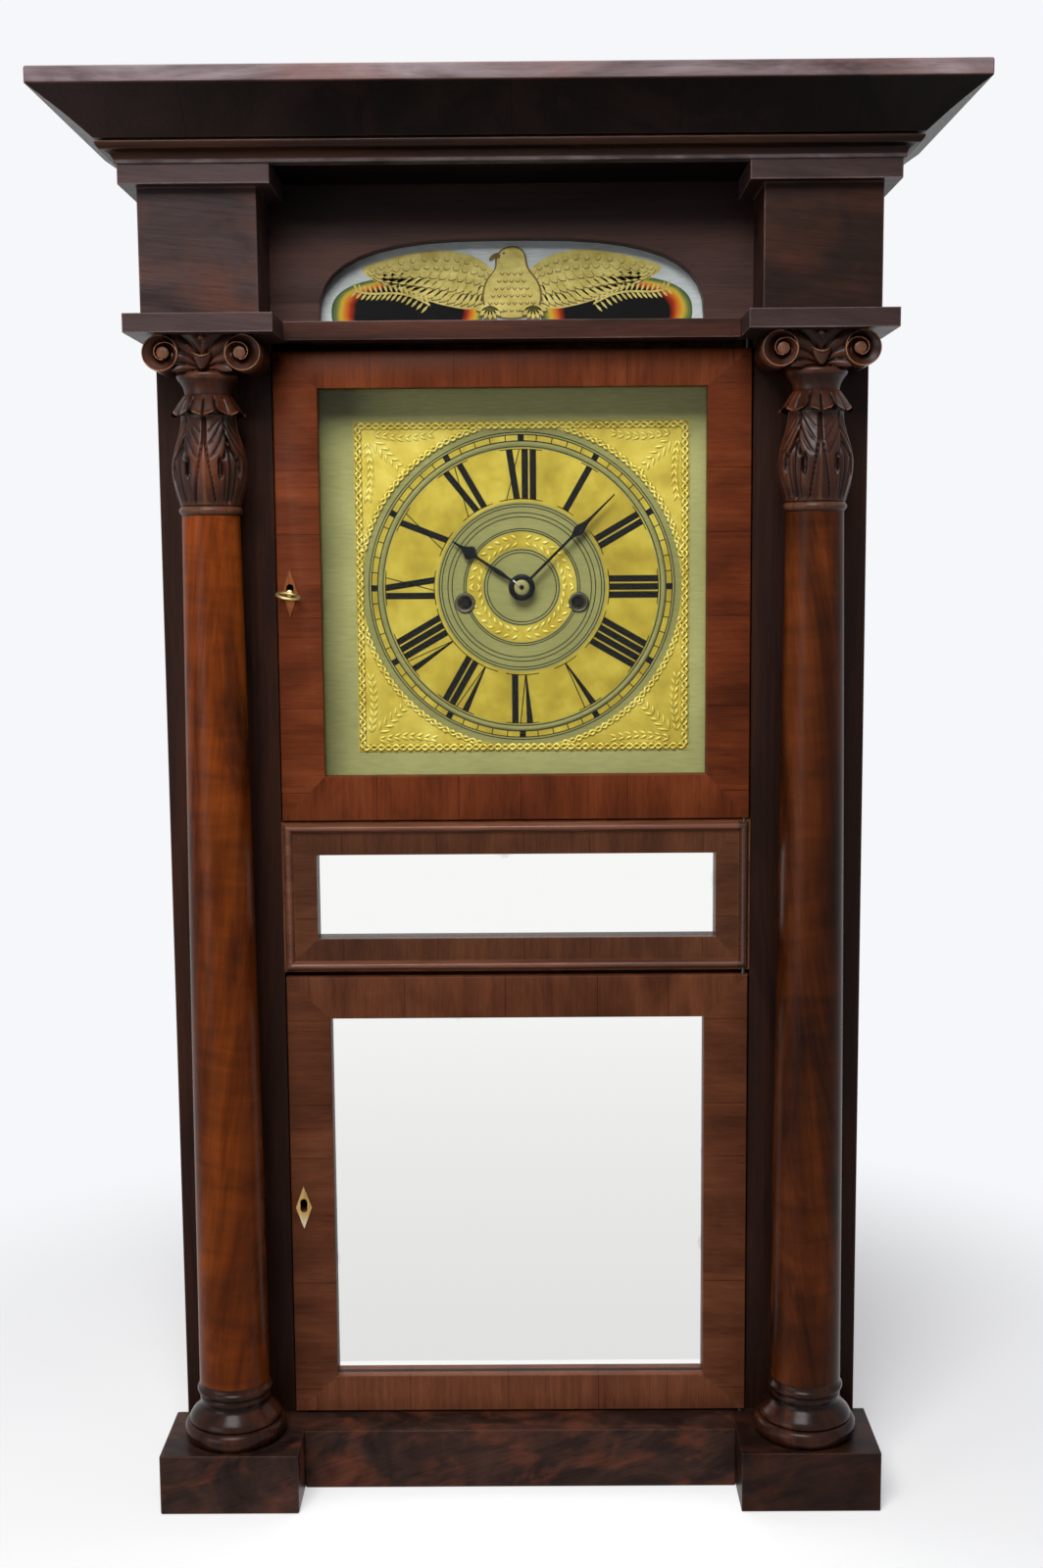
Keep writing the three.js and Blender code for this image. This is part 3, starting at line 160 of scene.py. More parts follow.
floor.location.z = -floor_drop
scene.collection.objects.link(floor)


def lamp(name, stand, target, size, power):
    data = bpy.data.lights.new(name, "AREA")
    data.shape = "RECTANGLE"
    data.size, data.size_y = size
    data.energy = power
    made = bpy.data.objects.new(name, data)
    made.location = stand
    made.rotation_euler = (Vector(target) - Vector(stand)).to_track_quat("-Z", "Y").to_euler()
    scene.collection.objects.link(made)


lamp("main_lamp", (-0.28, -1.38, 1.82), (0, 0, 0.6), (1.05, 0.85), 42)
lamp("side_lamp", (-1.2, -1.15, 0.45), (0, 0, 0.3), (0.8, 0.8), 6.5)

# Case: pine boards stained and veneered dark, nailed to a backboard, with the grain running up
# the sides and stiles. The corners are eased and have rubbed through to a redder brown.


def shade(tree, value, *stops):
    ramp = put(tree, "ValToRGB", value)
    points = ramp.color_ramp.elements
    points.remove(points[1])
    points[0].position = stops[0][0]
    points[0].color = (*stops[0][1], 1.0)
    for stop, colour in stops[1:]:
        points.new(stop).color = (*colour, 1.0)
    return ramp


def mix(tree, share, under, over, how="MIX"):
    return put(tree, "MixRGB", share, under, over, blend_type=how)


def tint(tree, colour, share):
    return mix(tree, 1.0, colour, share, "MULTIPLY")


def bump(tree, strength, distance, height):
    return put(tree, "Bump", Strength=strength, Distance=distance, Height=height)


def coated(finish, colour, rough, **more):
    tree = finish.node_tree
    put(tree, "OutputMaterial", put(tree, "BsdfPrincipled", Base_Color=colour, Roughness=rough, **more))
    return finish


def grain(axis, lean=0.0, shift=0.0):
    def along(tree):
        leaned = put(tree, "Mapping", place(tree), Location=(shift, shift, shift),
                     Rotation=(0, math.radians(lean), 0))
        part = put(tree, "SeparateXYZ", leaned).outputs
        order = {"x": "XYZ", "y": "YXZ", "z": "ZXY"}[axis]
        return put(tree, "CombineXYZ", *[part[letter] for letter in order])
    return along


def streaked(tree, along, reach, across, detail=5.0, swirl=0.0, rough=0.6):
    laid = put(tree, "Mapping", along, Scale=(reach, across, across))
    return cloud(tree, laid, 1.0, detail, rough, swirl)


def rubbed_edges(tree):
    soft = put(tree, "Bevel", Radius=0.0016, samples=4)
    true = put(tree, "NewGeometry").outputs["Normal"]
    facing_alike = put(tree, "VectorMath", soft, true, operation="DOT_PRODUCT").outputs["Value"]
    return spread(tree, facing_alike, 0.98, 0.72, 0.0, 1.0)


def wood(name, tones, along, figure=(5, 42), streak=(7, 420), swirl=0.8, gloss=(0.3, 0.46), shine=0.08,
         rub=None, joints=None, bands=None, plates=None, rabbet_darkening=None):
    finish, tree = start(name)
    along = along(tree)
    broad = streaked(tree, along, *figure, swirl=swirl)
    fine = streaked(tree, along, *streak, detail=4.0, rough=0.7)
    pores = streaked(tree, along, 70, 1500, detail=2.0)
    colour = shade(tree, broad, *zip((0.3, 0.5, 0.72), tones))
    if bands:
        patch = streaked(tree, along, *bands[0], detail=3.0, swirl=0.5)
        colour = mix(tree, spread(tree, patch, 0.48, 0.7, 0.0, 0.8), colour, bands[1])
    if plates:
        faded = reckon(tree, "MULTIPLY", plates[0](tree), spread(tree, broad, 0.3, 0.6, 0.45, 0.95))
        colour = mix(tree, faded, colour, plates[1])
    colour = tint(tree, colour, vary(tree, fine, 0.78, 1.14))
    colour = tint(tree, colour, spread(tree, pores, 0.32, 0.45, 0.72, 1.0))
    if joints:
        across = put(tree, "SeparateXYZ", along).outputs["Y"]
        seam = put(tree, "TexVoronoi", W=reckon(tree, "MULTIPLY", across, joints), Scale=1.0,
                   voronoi_dimensions="1D", feature="DISTANCE_TO_EDGE").outputs["Distance"]
        colour = tint(tree, colour, spread(tree, seam, 0.0, 0.0005 * joints, 0.35, 1.0))
    if rub:
        edge = reckon(tree, "MULTIPLY", rubbed_edges(tree), spread(tree, broad, 0.35, 0.6, 0.25, 1.0))
        colour = mix(tree, edge, colour, rub)
    # Darkens the inner end of each rabbet beside its pane, to near black.
    if rabbet_darkening:
        colour = mix(tree, rabbet_darkening(tree), colour, (0.003, 0.002, 0.0015))
    relief = bump(tree, 0.25, 0.0003, reckon(tree, "ADD", fine, pores))
    return coated(finish, colour, vary(tree, fine, *gloss), Specular_IOR_Level=shine, Normal=relief)


def dress(finish, ease, *names):
    for name in names:
        piece = cad[name]
        piece.data.materials.clear()
        piece.data.materials.append(finish)
        if ease:
            piece.modifiers.new("weld", "WELD").merge_threshold = 0.00001
            bevel = piece.modifiers.new("ease", "BEVEL")
            bevel.width = ease * mm
            bevel.segments = 2
            bevel.limit_method = "ANGLE"
            bevel.angle_limit = math.radians(40)


worn_brown = (0.13, 0.052, 0.03)
side_wood = wood("dark_wood_upright",
                 ((0.011, 0.0058, 0.0048), (0.024, 0.0105, 0.008), (0.052, 0.019, 0.012)),
                 grain("z"), rub=worn_brown)
stile_wood = wood("stile_veneer", ((0.009, 0.0037, 0.0026), (0.021, 0.0077, 0.0047), (0.045, 0.0138, 0.0072)),
                  grain("z", shift=0.37), figure=(4, 30), rub=worn_brown)
raw_pine = wood("raw_pine", ((0.16, 0.085, 0.04), (0.3, 0.17, 0.085), (0.42, 0.26, 0.14)), grain("z"),
                gloss=(0.7, 0.85), shine=0.1)
# The roof board shows only as the soffit under the cornice; its tones, far darker than the other case boards,
# are painted shade.
shaded_roof_wood = wood("shaded_roof_board", ((0.002, 0.0011, 0.0009), (0.0045, 0.0022, 0.0017), (0.01, 0.004, 0.0028)),
                 grain("x", shift=0.45))
dress(side_wood, 0.8, "case_side_left", "case_side_right")
dress(stile_wood, 0.7, "stile_left", "stile_right")
dress(raw_pine, 0.8, "case_backboard")
dress(raw_pine, 0.5, "case_floor")
dress(shaded_roof_wood, 0.5, "case_roof")

# Plinths and apron: solid blocks faced with dark crotch veneer, glued to the stiles. The edges are
# rubbed from moving, and the faces show red where the figure turns.
# The right plinth takes a darker copy of the veneer: painted shade, as of light from the left.
for name, tones, red_patch, blocks in (
        ("plinth_veneer", ((0.011, 0.006, 0.0048), (0.0275, 0.0135, 0.0102), (0.055, 0.0235, 0.0165)),
         (0.128, 0.037, 0.0185), ("plinth_left", "apron")),
        ("shaded_plinth_veneer",
         ((0.0075, 0.0036, 0.0026), (0.0175, 0.0078, 0.0055), (0.033, 0.0125, 0.0085)),
         (0.055, 0.016, 0.009), ("plinth_right",))):
    veneer = wood(name, tones, grain("x", 18, 0.11), figure=(16, 30), swirl=1.6, rub=worn_brown,
                  bands=((24, 38), red_patch))
    dress(veneer, 1.1, *blocks)

# Imposts, ledge and frieze: blocks over the columns between thin plates, with a moulded ledge and a
# panel between them that has an arched window cut through it. Dark veneer over pine.
# Pale lilac on rubbed edges: partly wear and partly painted highlight.
worn_and_highlight_lilac = (0.26, 0.18, 0.17)


def fades(axis, low, high, share=1.0):
    return lambda tree: spread(tree, parts(tree)[axis], low, high, 0.0, share)


def impost_plates(tree):
    return reckon(tree, "MAXIMUM", fades("Z", 0.8336, 0.8334)(tree), fades("Z", 0.9153, 0.9155)(tree))


# The right impost takes a darker copy of the veneer: painted shade, as of light from the left.
for name, tones, red_patch, plate_lilac, block in (
        ("impost_veneer", ((0.02, 0.0115, 0.0105), (0.043, 0.026, 0.025), (0.07, 0.041, 0.038)),
         (0.085, 0.03, 0.018), (0.056, 0.036, 0.035), "impost_left"),
        ("shaded_impost_veneer", ((0.006, 0.0029, 0.0021), (0.0135, 0.0061, 0.0041), (0.028, 0.0112, 0.0072)),
         (0.045, 0.0145, 0.008), (0.042, 0.026, 0.025), "impost_right")):
    veneer = wood(name, tones, grain("x", -6, 0.21), figure=(10, 20), rub=worn_and_highlight_lilac,
                  bands=((13, 18), red_patch), plates=(impost_plates, plate_lilac))
    dress(veneer, 0.8, block)
ledge_veneer = wood("ledge_veneer", ((0.0195, 0.0075, 0.005), (0.046, 0.0158, 0.01), (0.085, 0.0265, 0.014)),
                    grain("x", shift=0.5), rub=worn_and_highlight_lilac)
dress(ledge_veneer, 1.0, "frieze_ledge")
# The top of the frieze fades to near black under the cornice: painted shade.
shade_under_cornice = fades("Z", 0.886, 0.91)
frieze_veneer = wood("frieze_veneer",
                     ((0.026, 0.0128, 0.0105), (0.056, 0.0275, 0.0225), (0.092, 0.039, 0.0285)),
                     grain("x", shift=0.7), figure=(3, 26), plates=(shade_under_cornice, (0.003, 0.0018, 0.0015)))
dress(frieze_veneer, 0.6, "frieze_panel")

# Frieze glass: a pane painted on its back in oil colours, a pale sky with blended dark lobes and a
# gilt spread eagle between leafy fronds. Each colour is its own thin coat.


# The low and high end of a solid along an axis, in millimetres.
def span(node, axis):
    return [round(corner["xyz".index(axis)] / mm, 3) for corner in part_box(node)]


stile_face = span("stile_left", "y")[0]
coat_plane = span("frieze_glass", "y")[0]
sill = span("frieze_ledge", "z")[1] + 1.5


# A blank holds the points of a piece in millimetres, its faces, and how deep each point is cut.
class Blank:
    def __init__(self):
        self.points, self.faces, self.cuts = [], [], []

    def add(self, point, cut):
        self.points.append(point)
        self.cuts.append(cut)

    def strip(self, a, b, size):
        self.faces += [(a + i, a + (i + 1) % size, b + (i + 1) % size, b + i) for i in range(size)]

    def join(self, rows, size, ends=True, wrap=False):
        first = len(self.points) - rows * size
        starts = [first + k * size for k in range(rows)]
        for a, b in zip(starts, starts[1:] + starts[:int(wrap)]):
            self.strip(a, b, size)
        if ends:
            self.faces += [tuple(range(a, a + size)) for a in (starts[0], starts[-1])]

    def coat(self, outline, plane, lift, thick=0.04):
        first, count = len(self.points), len(outline)
        for depth in (plane - lift, plane - lift + thick):
            self.points += [(x, depth, z) for x, z in outline]
        self.faces += [tuple(range(a, a + count)) for a in (first, first + count)]
        self.strip(first, first + count, count)


def mesh_of(name, blank):
    mesh = bpy.data.meshes.new(name)
    mesh.from_pydata([Vector(point) * mm for point in blank.points], [], blank.faces)
    shell = bmesh.new()
    shell.from_mesh(mesh)
    bmesh.ops.recalc_face_normals(shell, faces=shell.faces)
    shell.to_mesh(mesh)
    shell.free()
    return mesh


def make_piece(name, blank, finish, body="case", smooth=None):
    mesh = mesh_of(name, blank)
    if smooth:
        mesh.polygons.foreach_set("use_smooth", [True] * len(mesh.polygons))
        mesh.set_sharp_from_angle(angle=math.radians(smooth))
    if blank.cuts:
        mesh.attributes.new("cut", "FLOAT", "POINT").data.foreach_set("value", blank.cuts)
    mesh.materials.append(finish)
    piece = bpy.data.objects.new(name, mesh)
    scene.collection.objects.link(piece)
    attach(piece, body)
    return piece


def curved(points, steps):
    count = len(points)
    outline = []
    for i in range(count):
        a, b, c, d = [Vector(points[(i + k) % count]) for k in (-1, 0, 1, 2)]
        for step in range(steps):
            t = step / steps
            spot = b * 2 + (c - a) * t + (a * 2 - b * 5 + c * 4 - d) * t * t
            outline.append((spot + (b * 3 - a - c * 3 + d) * t ** 3) / 2)
    return outline


def aimed(degrees):
    turn = math.radians(degrees)
    return Vector((math.cos(turn), math.sin(turn))), Vector((-math.sin(turn), math.cos(turn)))


def leaf(x, z, aim, length, width, belly):
    ahead, side = aimed(aim)
    steps = 5
    root = Vector((x, z))
    edges = [(i / steps, width / 2 * math.sin(math.pi * (i / steps) ** belly)) for i in range(1, steps)]
    right = [root + ahead * length * share + side * half for share, half in edges]
    left = [root + ahead * length * share - side * half for share, half in edges]
    return [root] + right + [root + ahead * length] + left[::-1]


def oil_paint(name, tones, scale, gloss=0.3, field=None):
    finish, tree = start(name)
    spot = place(tree)
    cloudy = cloud(tree, spot, scale, 4.0, swirl=0.5)
    brushed = streaked(tree, spot, 90, 700, detail=3.0)
    colour = shade(tree, cloudy, *zip((0.3, 0.7), tones))
    colour = tint(tree, colour, vary(tree, brushed, 0.86, 1.08))
    if field:
        colour = mix(tree, field[0](tree), colour, field[1], "MULTIPLY")
    return coated(finish, colour, vary(tree, cloudy, gloss, gloss + 0.15), Specular_IOR_Level=0.08,
                  Normal=bump(tree, 0.15, 0.0002, brushed))


dress(oil_paint("sky_paint", ((0.36, 0.4, 0.41), (0.52, 0.56, 0.55)), 30), 0, "frieze_glass")

lobe_x, lobe_rise = 73.0, 8.0
lobe_half = (53.0, 24.0)
lobe_power = 2.4
lobe_stops = ((0.42, (0.004, 0.0036, 0.0036)), (0.52, (0.3, 0.026, 0.008)), (0.62, (0.55, 0.15, 0.018)),
              (0.74, (0.52, 0.36, 0.035)), (0.86, (0.13, 0.17, 0.045)), (0.98, (0.045, 0.075, 0.035)))


def lobe_paint(name, middle):
    finish, tree = start(name)
    loose = cloud(tree, place(tree), 40.0, 2.0)
    ring = vary(tree, loose, -0.06, 0.06)
    for axis, centre, size in zip("XZ", middle, lobe_half):
        off = reckon(tree, "DIVIDE", reckon(tree, "SUBTRACT", parts(tree)[axis], centre * mm), size * mm)
        ring = reckon(tree, "ADD", ring, reckon(tree, "POWER", reckon(tree, "ABSOLUTE", off), lobe_power))
    return coated(finish, shade(tree, ring, *lobe_stops), vary(tree, loose, 0.28, 0.4),
                  Specular_IOR_Level=0.06)


def flattened(value):
    return math.copysign(abs(value) ** (2 / lobe_power), value)


for side, sign in (("left", -1), ("right", 1)):
    middle = (sign * lobe_x, sill + lobe_rise)
    outline = []
    for i in range(49):
        turn = math.pi * i / 48 * 1.24 - 0.12 * math.pi
        outline.append((middle[0] + lobe_half[0] * flattened(math.cos(turn)),
                        max(sill + 0.1, middle[1] + lobe_half[1] * flattened(math.sin(turn)))))
    lobe = Blank()
    lobe.coat(outline, coat_plane, 0.06)
    make_piece("painted_lobe_" + side, lobe, lobe_paint("lobe_paint_" + side, middle))

umber, plume = Blank(), Blank()
wing_edge = [(-11, 33), (-23, 44), (-42, 49.5), (-64, 49), (-88, 44), (-104, 38)]
wing_foot = [(-96, 30), (-79, 23.5), (-62, 17), (-44, 12), (-28, 10), (-14, 15)]
feather_rows = ((0.99, 22, 5.4, 17), (0.76, 17, 5.4, 16), (0.54, 12, 5.2, 15), (0.34, 8, 5.0, 15),
                (0.17, 6, 4.6, 14))


def feather(x, z, aim, dark, gilt, belly, rise, lift, step):
    umber.coat(leaf(x, sill + z, aim, *dark, belly), coat_plane, lift)
    plume.coat(leaf(x, sill + z + rise, aim, *gilt, belly), coat_plane, lift + step)


def along_path(path, run):
    k = int(run)
    return Vector(path[k]).lerp(Vector(path[k + 1]), run - k)


def frond_height(run):
    return sill + 13 + 13 * run + 3 * math.sin(run * math.pi * 1.6)


for sign in (-1, 1):
    plume.coat(curved([(-sign * x, sill + z) for x, z in wing_edge + wing_foot], 4), coat_plane, 0.12)
    for row, (share, size, width, count) in enumerate(feather_rows):
        for i in range(count):
            along = (i + 0.5 * (row % 2)) / (count - 0.5)
            edge = along_path(wing_edge, along * 4.96)
            tip = edge.lerp(along_path(wing_foot[::-1], along * 4.96), share)
            root = tip - aimed(248 - 74 * along)[0] * size * 0.86
            root.y = min(root.y, edge.y - 0.5)
            aim = math.degrees(math.atan2(tip.y - root.y, (root.x - tip.x) * sign))
            length = (tip - root).length
            feather(-sign * root.x, root.y, aim, (length, width), (length * 0.94, width * 0.9), 1.4, 0.35,
                    0.16 + 0.045 * row, 0.02)
body_edge = [(-10, 4), (-20, 13), (-19, 27), (-12, 37), (-11, 45), (-6, 51), (3, 52.5), (9.5, 48), (12, 38),
             (20, 26), (20, 12), (10, 4)]
breast = [(-9, 5), (-18.6, 13.4), (-17.6, 27), (-10.8, 37.4), (-9.8, 45), (-5.4, 50), (2.6, 51.4),
          (8.3, 47.4), (10.7, 37.6), (18.6, 25.6), (18.6, 12.4), (9, 5)]
beak = [(-8.5, 48), (-13, 47), (-15.5, 44), (-14.5, 42.6), (-11, 44.2), (-8, 44.5)]
for colour, edge, steps, lift in ((umber, body_edge, 5, 0.4), (plume, breast, 5, 0.46),
                                  (umber, beak, 4, 0.56)):
    colour.coat(curved([(x, sill + z) for x, z in edge], steps), coat_plane, lift)
for row in range(6):
    for i in range(8):
        x = (i - 3.5 + 0.5 * (row % 2)) * 4.3
        if abs(x) <= min(15.5, 8.5 + 2.2 * row):
            feather(x, 37 - row * 5, 270, (4.6, 3.2), (4.2, 2.7), 1.4, 0.5, 0.5, 0.04)
for sign in (-1, 1):
    for i in range(7):
        feather(sign * 15, 12, 200 + i * 23, (11, 4.4), (10.2, 3.6), 1.2, 0.5, 0.58, 0.04)
    for i in range(15):
        run = i / 14
        for lean in (68, -46):
            aim = lean if sign > 0 else 180 - lean
            frond = leaf(sign * (58 + 50 * run), frond_height(run), aim, 7.6 - 1.5 * run, 1.7, 1.1)
            plume.coat(frond, coat_plane, 0.42)
    stem = [(sign * (57 + 52 * k / 12), frond_height(k / 12)) for k in range(13)]
    plume.coat([(x, z + 0.7) for x, z in stem] + [(x, z - 0.7) for x, z in stem[::-1]], coat_plane, 0.45)
eye_turns = [2 * math.pi * k / 10 for k in range(10)]
eye = [(-5.2 + 0.9 * math.cos(turn), sill + 47.6 + 0.9 * math.sin(turn)) for turn in eye_turns]
umber.coat(eye, coat_plane, 0.6)
umber_paint = oil_paint("umber_paint", ((0.11, 0.072, 0.026), (0.2, 0.14, 0.052)), 120)
plume_paint = oil_paint("plume_paint", ((0.42, 0.34, 0.085), (0.62, 0.53, 0.17)), 120)
make_piece("eagle_shadow_coat", umber, umber_paint)
make_piece("eagle_gilt_coat", plume, plume_paint)

# Cornice: a bed mould and a wide flare run in one section round three sides, mitred at the front
# corners, under a thin top board. The veneer has opened at its joints and is rubbed at the edges.
roof_half = span("case_roof", "x")[1]
roof_front = span("case_roof", "y")[0]
roof_level, roof_head = span("case_roof", "z")
case_back = span("case_backboard", "y")[1]
flare_reach = span("cornice_right", "x")[1] - roof_half
flare_head = span("cornice_right", "z")[1]
fillet_head = 930.5
lip_head = 940.3
hollow = [(17.2 - 6.8 * math.cos(k * math.pi / 20), 935.6 - 5.2 * (1 - math.sin(k * math.pi / 20)))
          for k in range(11)]
lip = [(17.6 + 2.4 * math.sin(k * math.pi / 14), 935.8 + 4.4 * k / 8) for k in range(9)]
quirk = [(15.6, 940.4), (15.6, 942.0)]
flare = [(20.5 + 34.2 * k / 12 - 1.3 * math.sin(math.pi * k / 12), 942.0 + 26.0 * k / 12) for k in range(12)]
cornice_section = [(0, roof_level), (9.8, roof_level), (10.4, roof_level + 0.6)]
cornice_section += hollow + lip + quirk + flare
cornice_section += [(flare_reach, flare_head), (40, flare_head), (0, roof_head)]
blank = Blank()
for side, at_back in ((-1, True), (-1, False), (1, False), (1, True)):
    blank.points += [(side * (roof_half + out), case_back if at_back else roof_front - out, z)
                     for out, z in cornice_section]
blank.join(4, len(cornice_section))
# The flare veneer turns paler toward its left end: painted light from the left.
flare_veneer = wood("flare_veneer",
                    ((0.0038, 0.0024, 0.002), (0.008, 0.0046, 0.0039), (0.02, 0.0095, 0.0072)),
                    grain("z", shift=0.9), figure=(6, 14), rub=(0.14, 0.06, 0.04), joints=9, shine=0.06,
                    plates=(fades("X", -0.1, -0.27), (0.04, 0.0235, 0.021)))
bed_veneer = wood("bed_mould_veneer",
                  ((0.0085, 0.0034, 0.002), (0.021, 0.0075, 0.0039), (0.046, 0.0155, 0.0074)),
                  grain("x", shift=0.6), rub=(0.17, 0.09, 0.055), shine=0.1, gloss=(0.22, 0.36))
# The bottom fillet of the bed mould is toned pale lilac: painted highlight along it.
fillet_highlight_veneer = wood("fillet_highlight_veneer", ((0.04, 0.028, 0.028), (0.075, 0.055, 0.057), (0.13, 0.1, 0.105)),
                     grain("x", shift=0.8), figure=(30, 60), rub=worn_and_highlight_lilac)
cornice = make_piece("cornice", blank, flare_veneer, smooth=38)
cornice.data.materials.append(bed_veneer)
cornice.data.materials.append(fillet_highlight_veneer)
for face in cornice.data.polygons:
    face.material_index = int(face.center.z < lip_head * mm) + int(face.center.z < fillet_head * mm)
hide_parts("cornice_front", "cornice_left", "cornice_right")
top_veneer = wood("top_board_veneer", ((0.06, 0.034, 0.034), (0.165, 0.122, 0.128), (0.29, 0.23, 0.24)),
                  grain("x", shift=0.33), figure=(9, 34), rub=(0.3, 0.13, 0.11),
                  bands=((8, 20), (0.2, 0.1, 0.09)))
dress(top_veneer, 1.2, "cornice_top")

# Columns: turned mahogany with a moulded base, a tapered shaft, a capital carved with leaves and
# petals, and a scrolled cap. Polish lies thick in the hollows and is rubbed thin on the high spots.
# The darkening by cut depth is partly that polish and partly painted shade in gaps and under the
# petals, and the pale high spots and rims are partly wear and partly painted highlight.


def middle_of(node, axis):
    return sum(span(node, axis)) / 2


column_x, column_y = [middle_of("column_shaft_right", axis) for axis in "xy"]
worn_and_highlight_carving = (0.33, 0.155, 0.082)


def carved_wood(name, tones, lean, figure, worn, shine, gloss, heights=None):
    finish, tree = start(name)
    along = grain("z", lean)(tree)
    broad = streaked(tree, along, *figure, swirl=1.2)
    curl = streaked(tree, along, 60, 14, detail=3.0, swirl=0.6)
    fine = streaked(tree, along, 8, 380, detail=4.0, rough=0.7)
    colour = shade(tree, broad, *zip((0.33, 0.5, 0.69), tones))
    colour = tint(tree, colour, spread(tree, curl, 0.32, 0.68, 0.7, 1.2))
    colour = tint(tree, colour, vary(tree, fine, 0.8, 1.12))
    if heights:
        tiers = [(z, (share,) * 3) for z, share in heights]
        colour = tint(tree, colour, shade(tree, parts(tree)["Z"], *tiers))
    cut = put(tree, "Attribute", attribute_name="cut").outputs["Fac"]
    high = spread(tree, cut, 0.0, 0.16, 1.0, 0.0)
    thin = reckon(tree, "MULTIPLY", high, spread(tree, fine, 0.3, 0.6, 0.4, 0.9))
    # Pale rubbed colour on high spots is partly wear and partly painted highlight; the darkening by cut below
    # is partly dark polish and partly painted shade.
    colour = mix(tree, reckon(tree, "MULTIPLY", thin, worn), colour, worn_and_highlight_carving)
    colour = tint(tree, colour, spread(tree, cut, 0.15, 0.9, 1.0, 0.16))
    return coated(finish, colour, vary(tree, broad, *gloss), Specular_IOR_Level=shine,
                  Normal=bump(tree, 0.15, 0.0003, fine))


def round_piece(name, rows, axis, finish, node, sides=96):
    blank = Blank()
    for row in rows:
        for step in range(sides):
            turn = 2 * math.pi * step / sides
            radius, z, depth = row(math.degrees(turn))
            blank.add((axis + radius * math.sin(turn), column_y - radius * math.cos(turn), z), depth)
    blank.join(len(rows), sides)
    piece = make_piece(name, blank, finish, smooth=60)
    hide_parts(node)


def plain(radius, z, depth, angle):
    return radius, z, depth


base_foot, shaft_foot = span("column_base_right", "z")
capital_foot, cap_foot = span("column_capital_right", "z")
base_back = span("column_base_right", "y")[1] - column_y
base_profile = [(27, 0), (33, 0.3), (35, 2.2), (36.2, 5), (36.5, 7.5), (36.1, 10), (34.8, 12.3),
                (33.2, 13.4), (32.4, 13.6), (32.4, 14.2), (32.9, 14.8), (32.6, 16.2), (31, 19), (28.4, 22),
                (26.2, 24.4), (24.9, 26.6), (24.5, 29), (25.0, 29.5), (25.0, 32.2), (24.4, 33.2),
                (24.4, 33.8), (26.0, 34.5), (26.7, 36), (26.7, 37.4), (26.1, 38.8), (25.2, 39.4), (25.1, 43)]
# The coves get a higher cut and are darkened: partly dark polish and partly painted shade.
base_hollows = {8, 9, 15, 16, 19, 20}


def against_stile(radius, z, depth, angle):
    back = -math.cos(math.radians(angle))
    return min(radius, base_back / back) if back > 0.5 else radius, base_foot + z, depth


base_rows = [partial(against_stile, radius, z, 0.9 if k in base_hollows else 0.3)
             for k, (radius, z) in enumerate(base_profile)]


def shaft_radius(share):
    return 25.1 + (19.7 - 25.1) * share + 0.7 * math.sin(math.pi * share)


shaft_rows = [partial(plain, shaft_radius(k / 30), shaft_foot + (capital_foot - shaft_foot) * k / 30, 0.3)
              for k in range(31)]


def bump_at(value, middle, width):
    return math.exp(-((value - middle) / width) ** 2)


def flute(local, line):
    return bump_at(local, line, 1.5 if local < line else 4.6)


def leaf_cut(angle, share):
    local = abs((angle + 45) % 90 - 45)
    spear = 17 * max(0.0, 1 - share / 0.7) ** 1.1 + 1.0
    cut = 0.35 * min(1.0, local / spear)
    cut += 1.3 * bump_at(local, spear + 1.7, 1.6) * (1 - 0.3 * share)
    eye = ((local - 26.5) / 4.4) ** 2 + ((share - 0.41) / 0.115) ** 2
    cut += 3.2 * max(0.0, min(1.0, (1.45 - eye) / 1.1))
    for begin, first, sweep, depth, last in ((0.46, 27, 22, 2.9, 0.84), (0.5, 8, 40, 1.3, 0.92),
                                             (0.64, 4, 38, 1.0, 0.98), (0.78, 2, 36, 0.7, 1.0)):
        if begin < share < last:
            run = (share - begin) / (last - begin)
            cut += depth * min(1.0, run * 5, (1 - run) * 3) * flute(local, first + sweep * run ** 0.85)
    if share < 0.56:
        cut += 1.1 * min(1.0, share * 12, (0.56 - share) * 7) * flute(local, 36 - 6 * share)
    return cut + 2.4 * bump_at(local, 45, 3.4) * (1 - 0.3 * share)


def bell(share, angle):
    if share < 0.42:
        radius = 20.6 + 5.0 * math.sin(math.pi / 2 * share / 0.42)
    else:
        radius = 18.8 + 6.8 * (0.5 + 0.5 * math.cos(math.pi * (share - 0.42) / 0.58))
    cut = leaf_cut(angle, share) * min(1.0, share / 0.04, (1 - share) / 0.03 + 0.15)
    return radius - cut, 709 + 60 * share, 0.11 + cut / 2.4


# Petal undersides get a high cut and are darkened, painted shade beneath the petals; their lower rims get
# none and take the pale rubbed colour, partly painted highlight.
def petal(share, edge, angle):
    local = abs((angle + 22.5) % 45 - 22.5) / 22.5
    groove = (1.1 * bump_at(local, 0, 0.07) + 1.6 * bump_at(local, 1, 0.13)) * min(1.0, (1 - share) * 3)
    foot = 768.4 + 3.6 * local ** 1.5
    radius = 24.9 - 8.6 * share ** 0.75 + 0.8 * math.sin(math.pi * share) - edge
    tone = 0.9 if edge else 0.28 * min(1.0, share * 8)
    return radius - groove, foot + (782.5 - foot) * share, tone + groove / 1.6


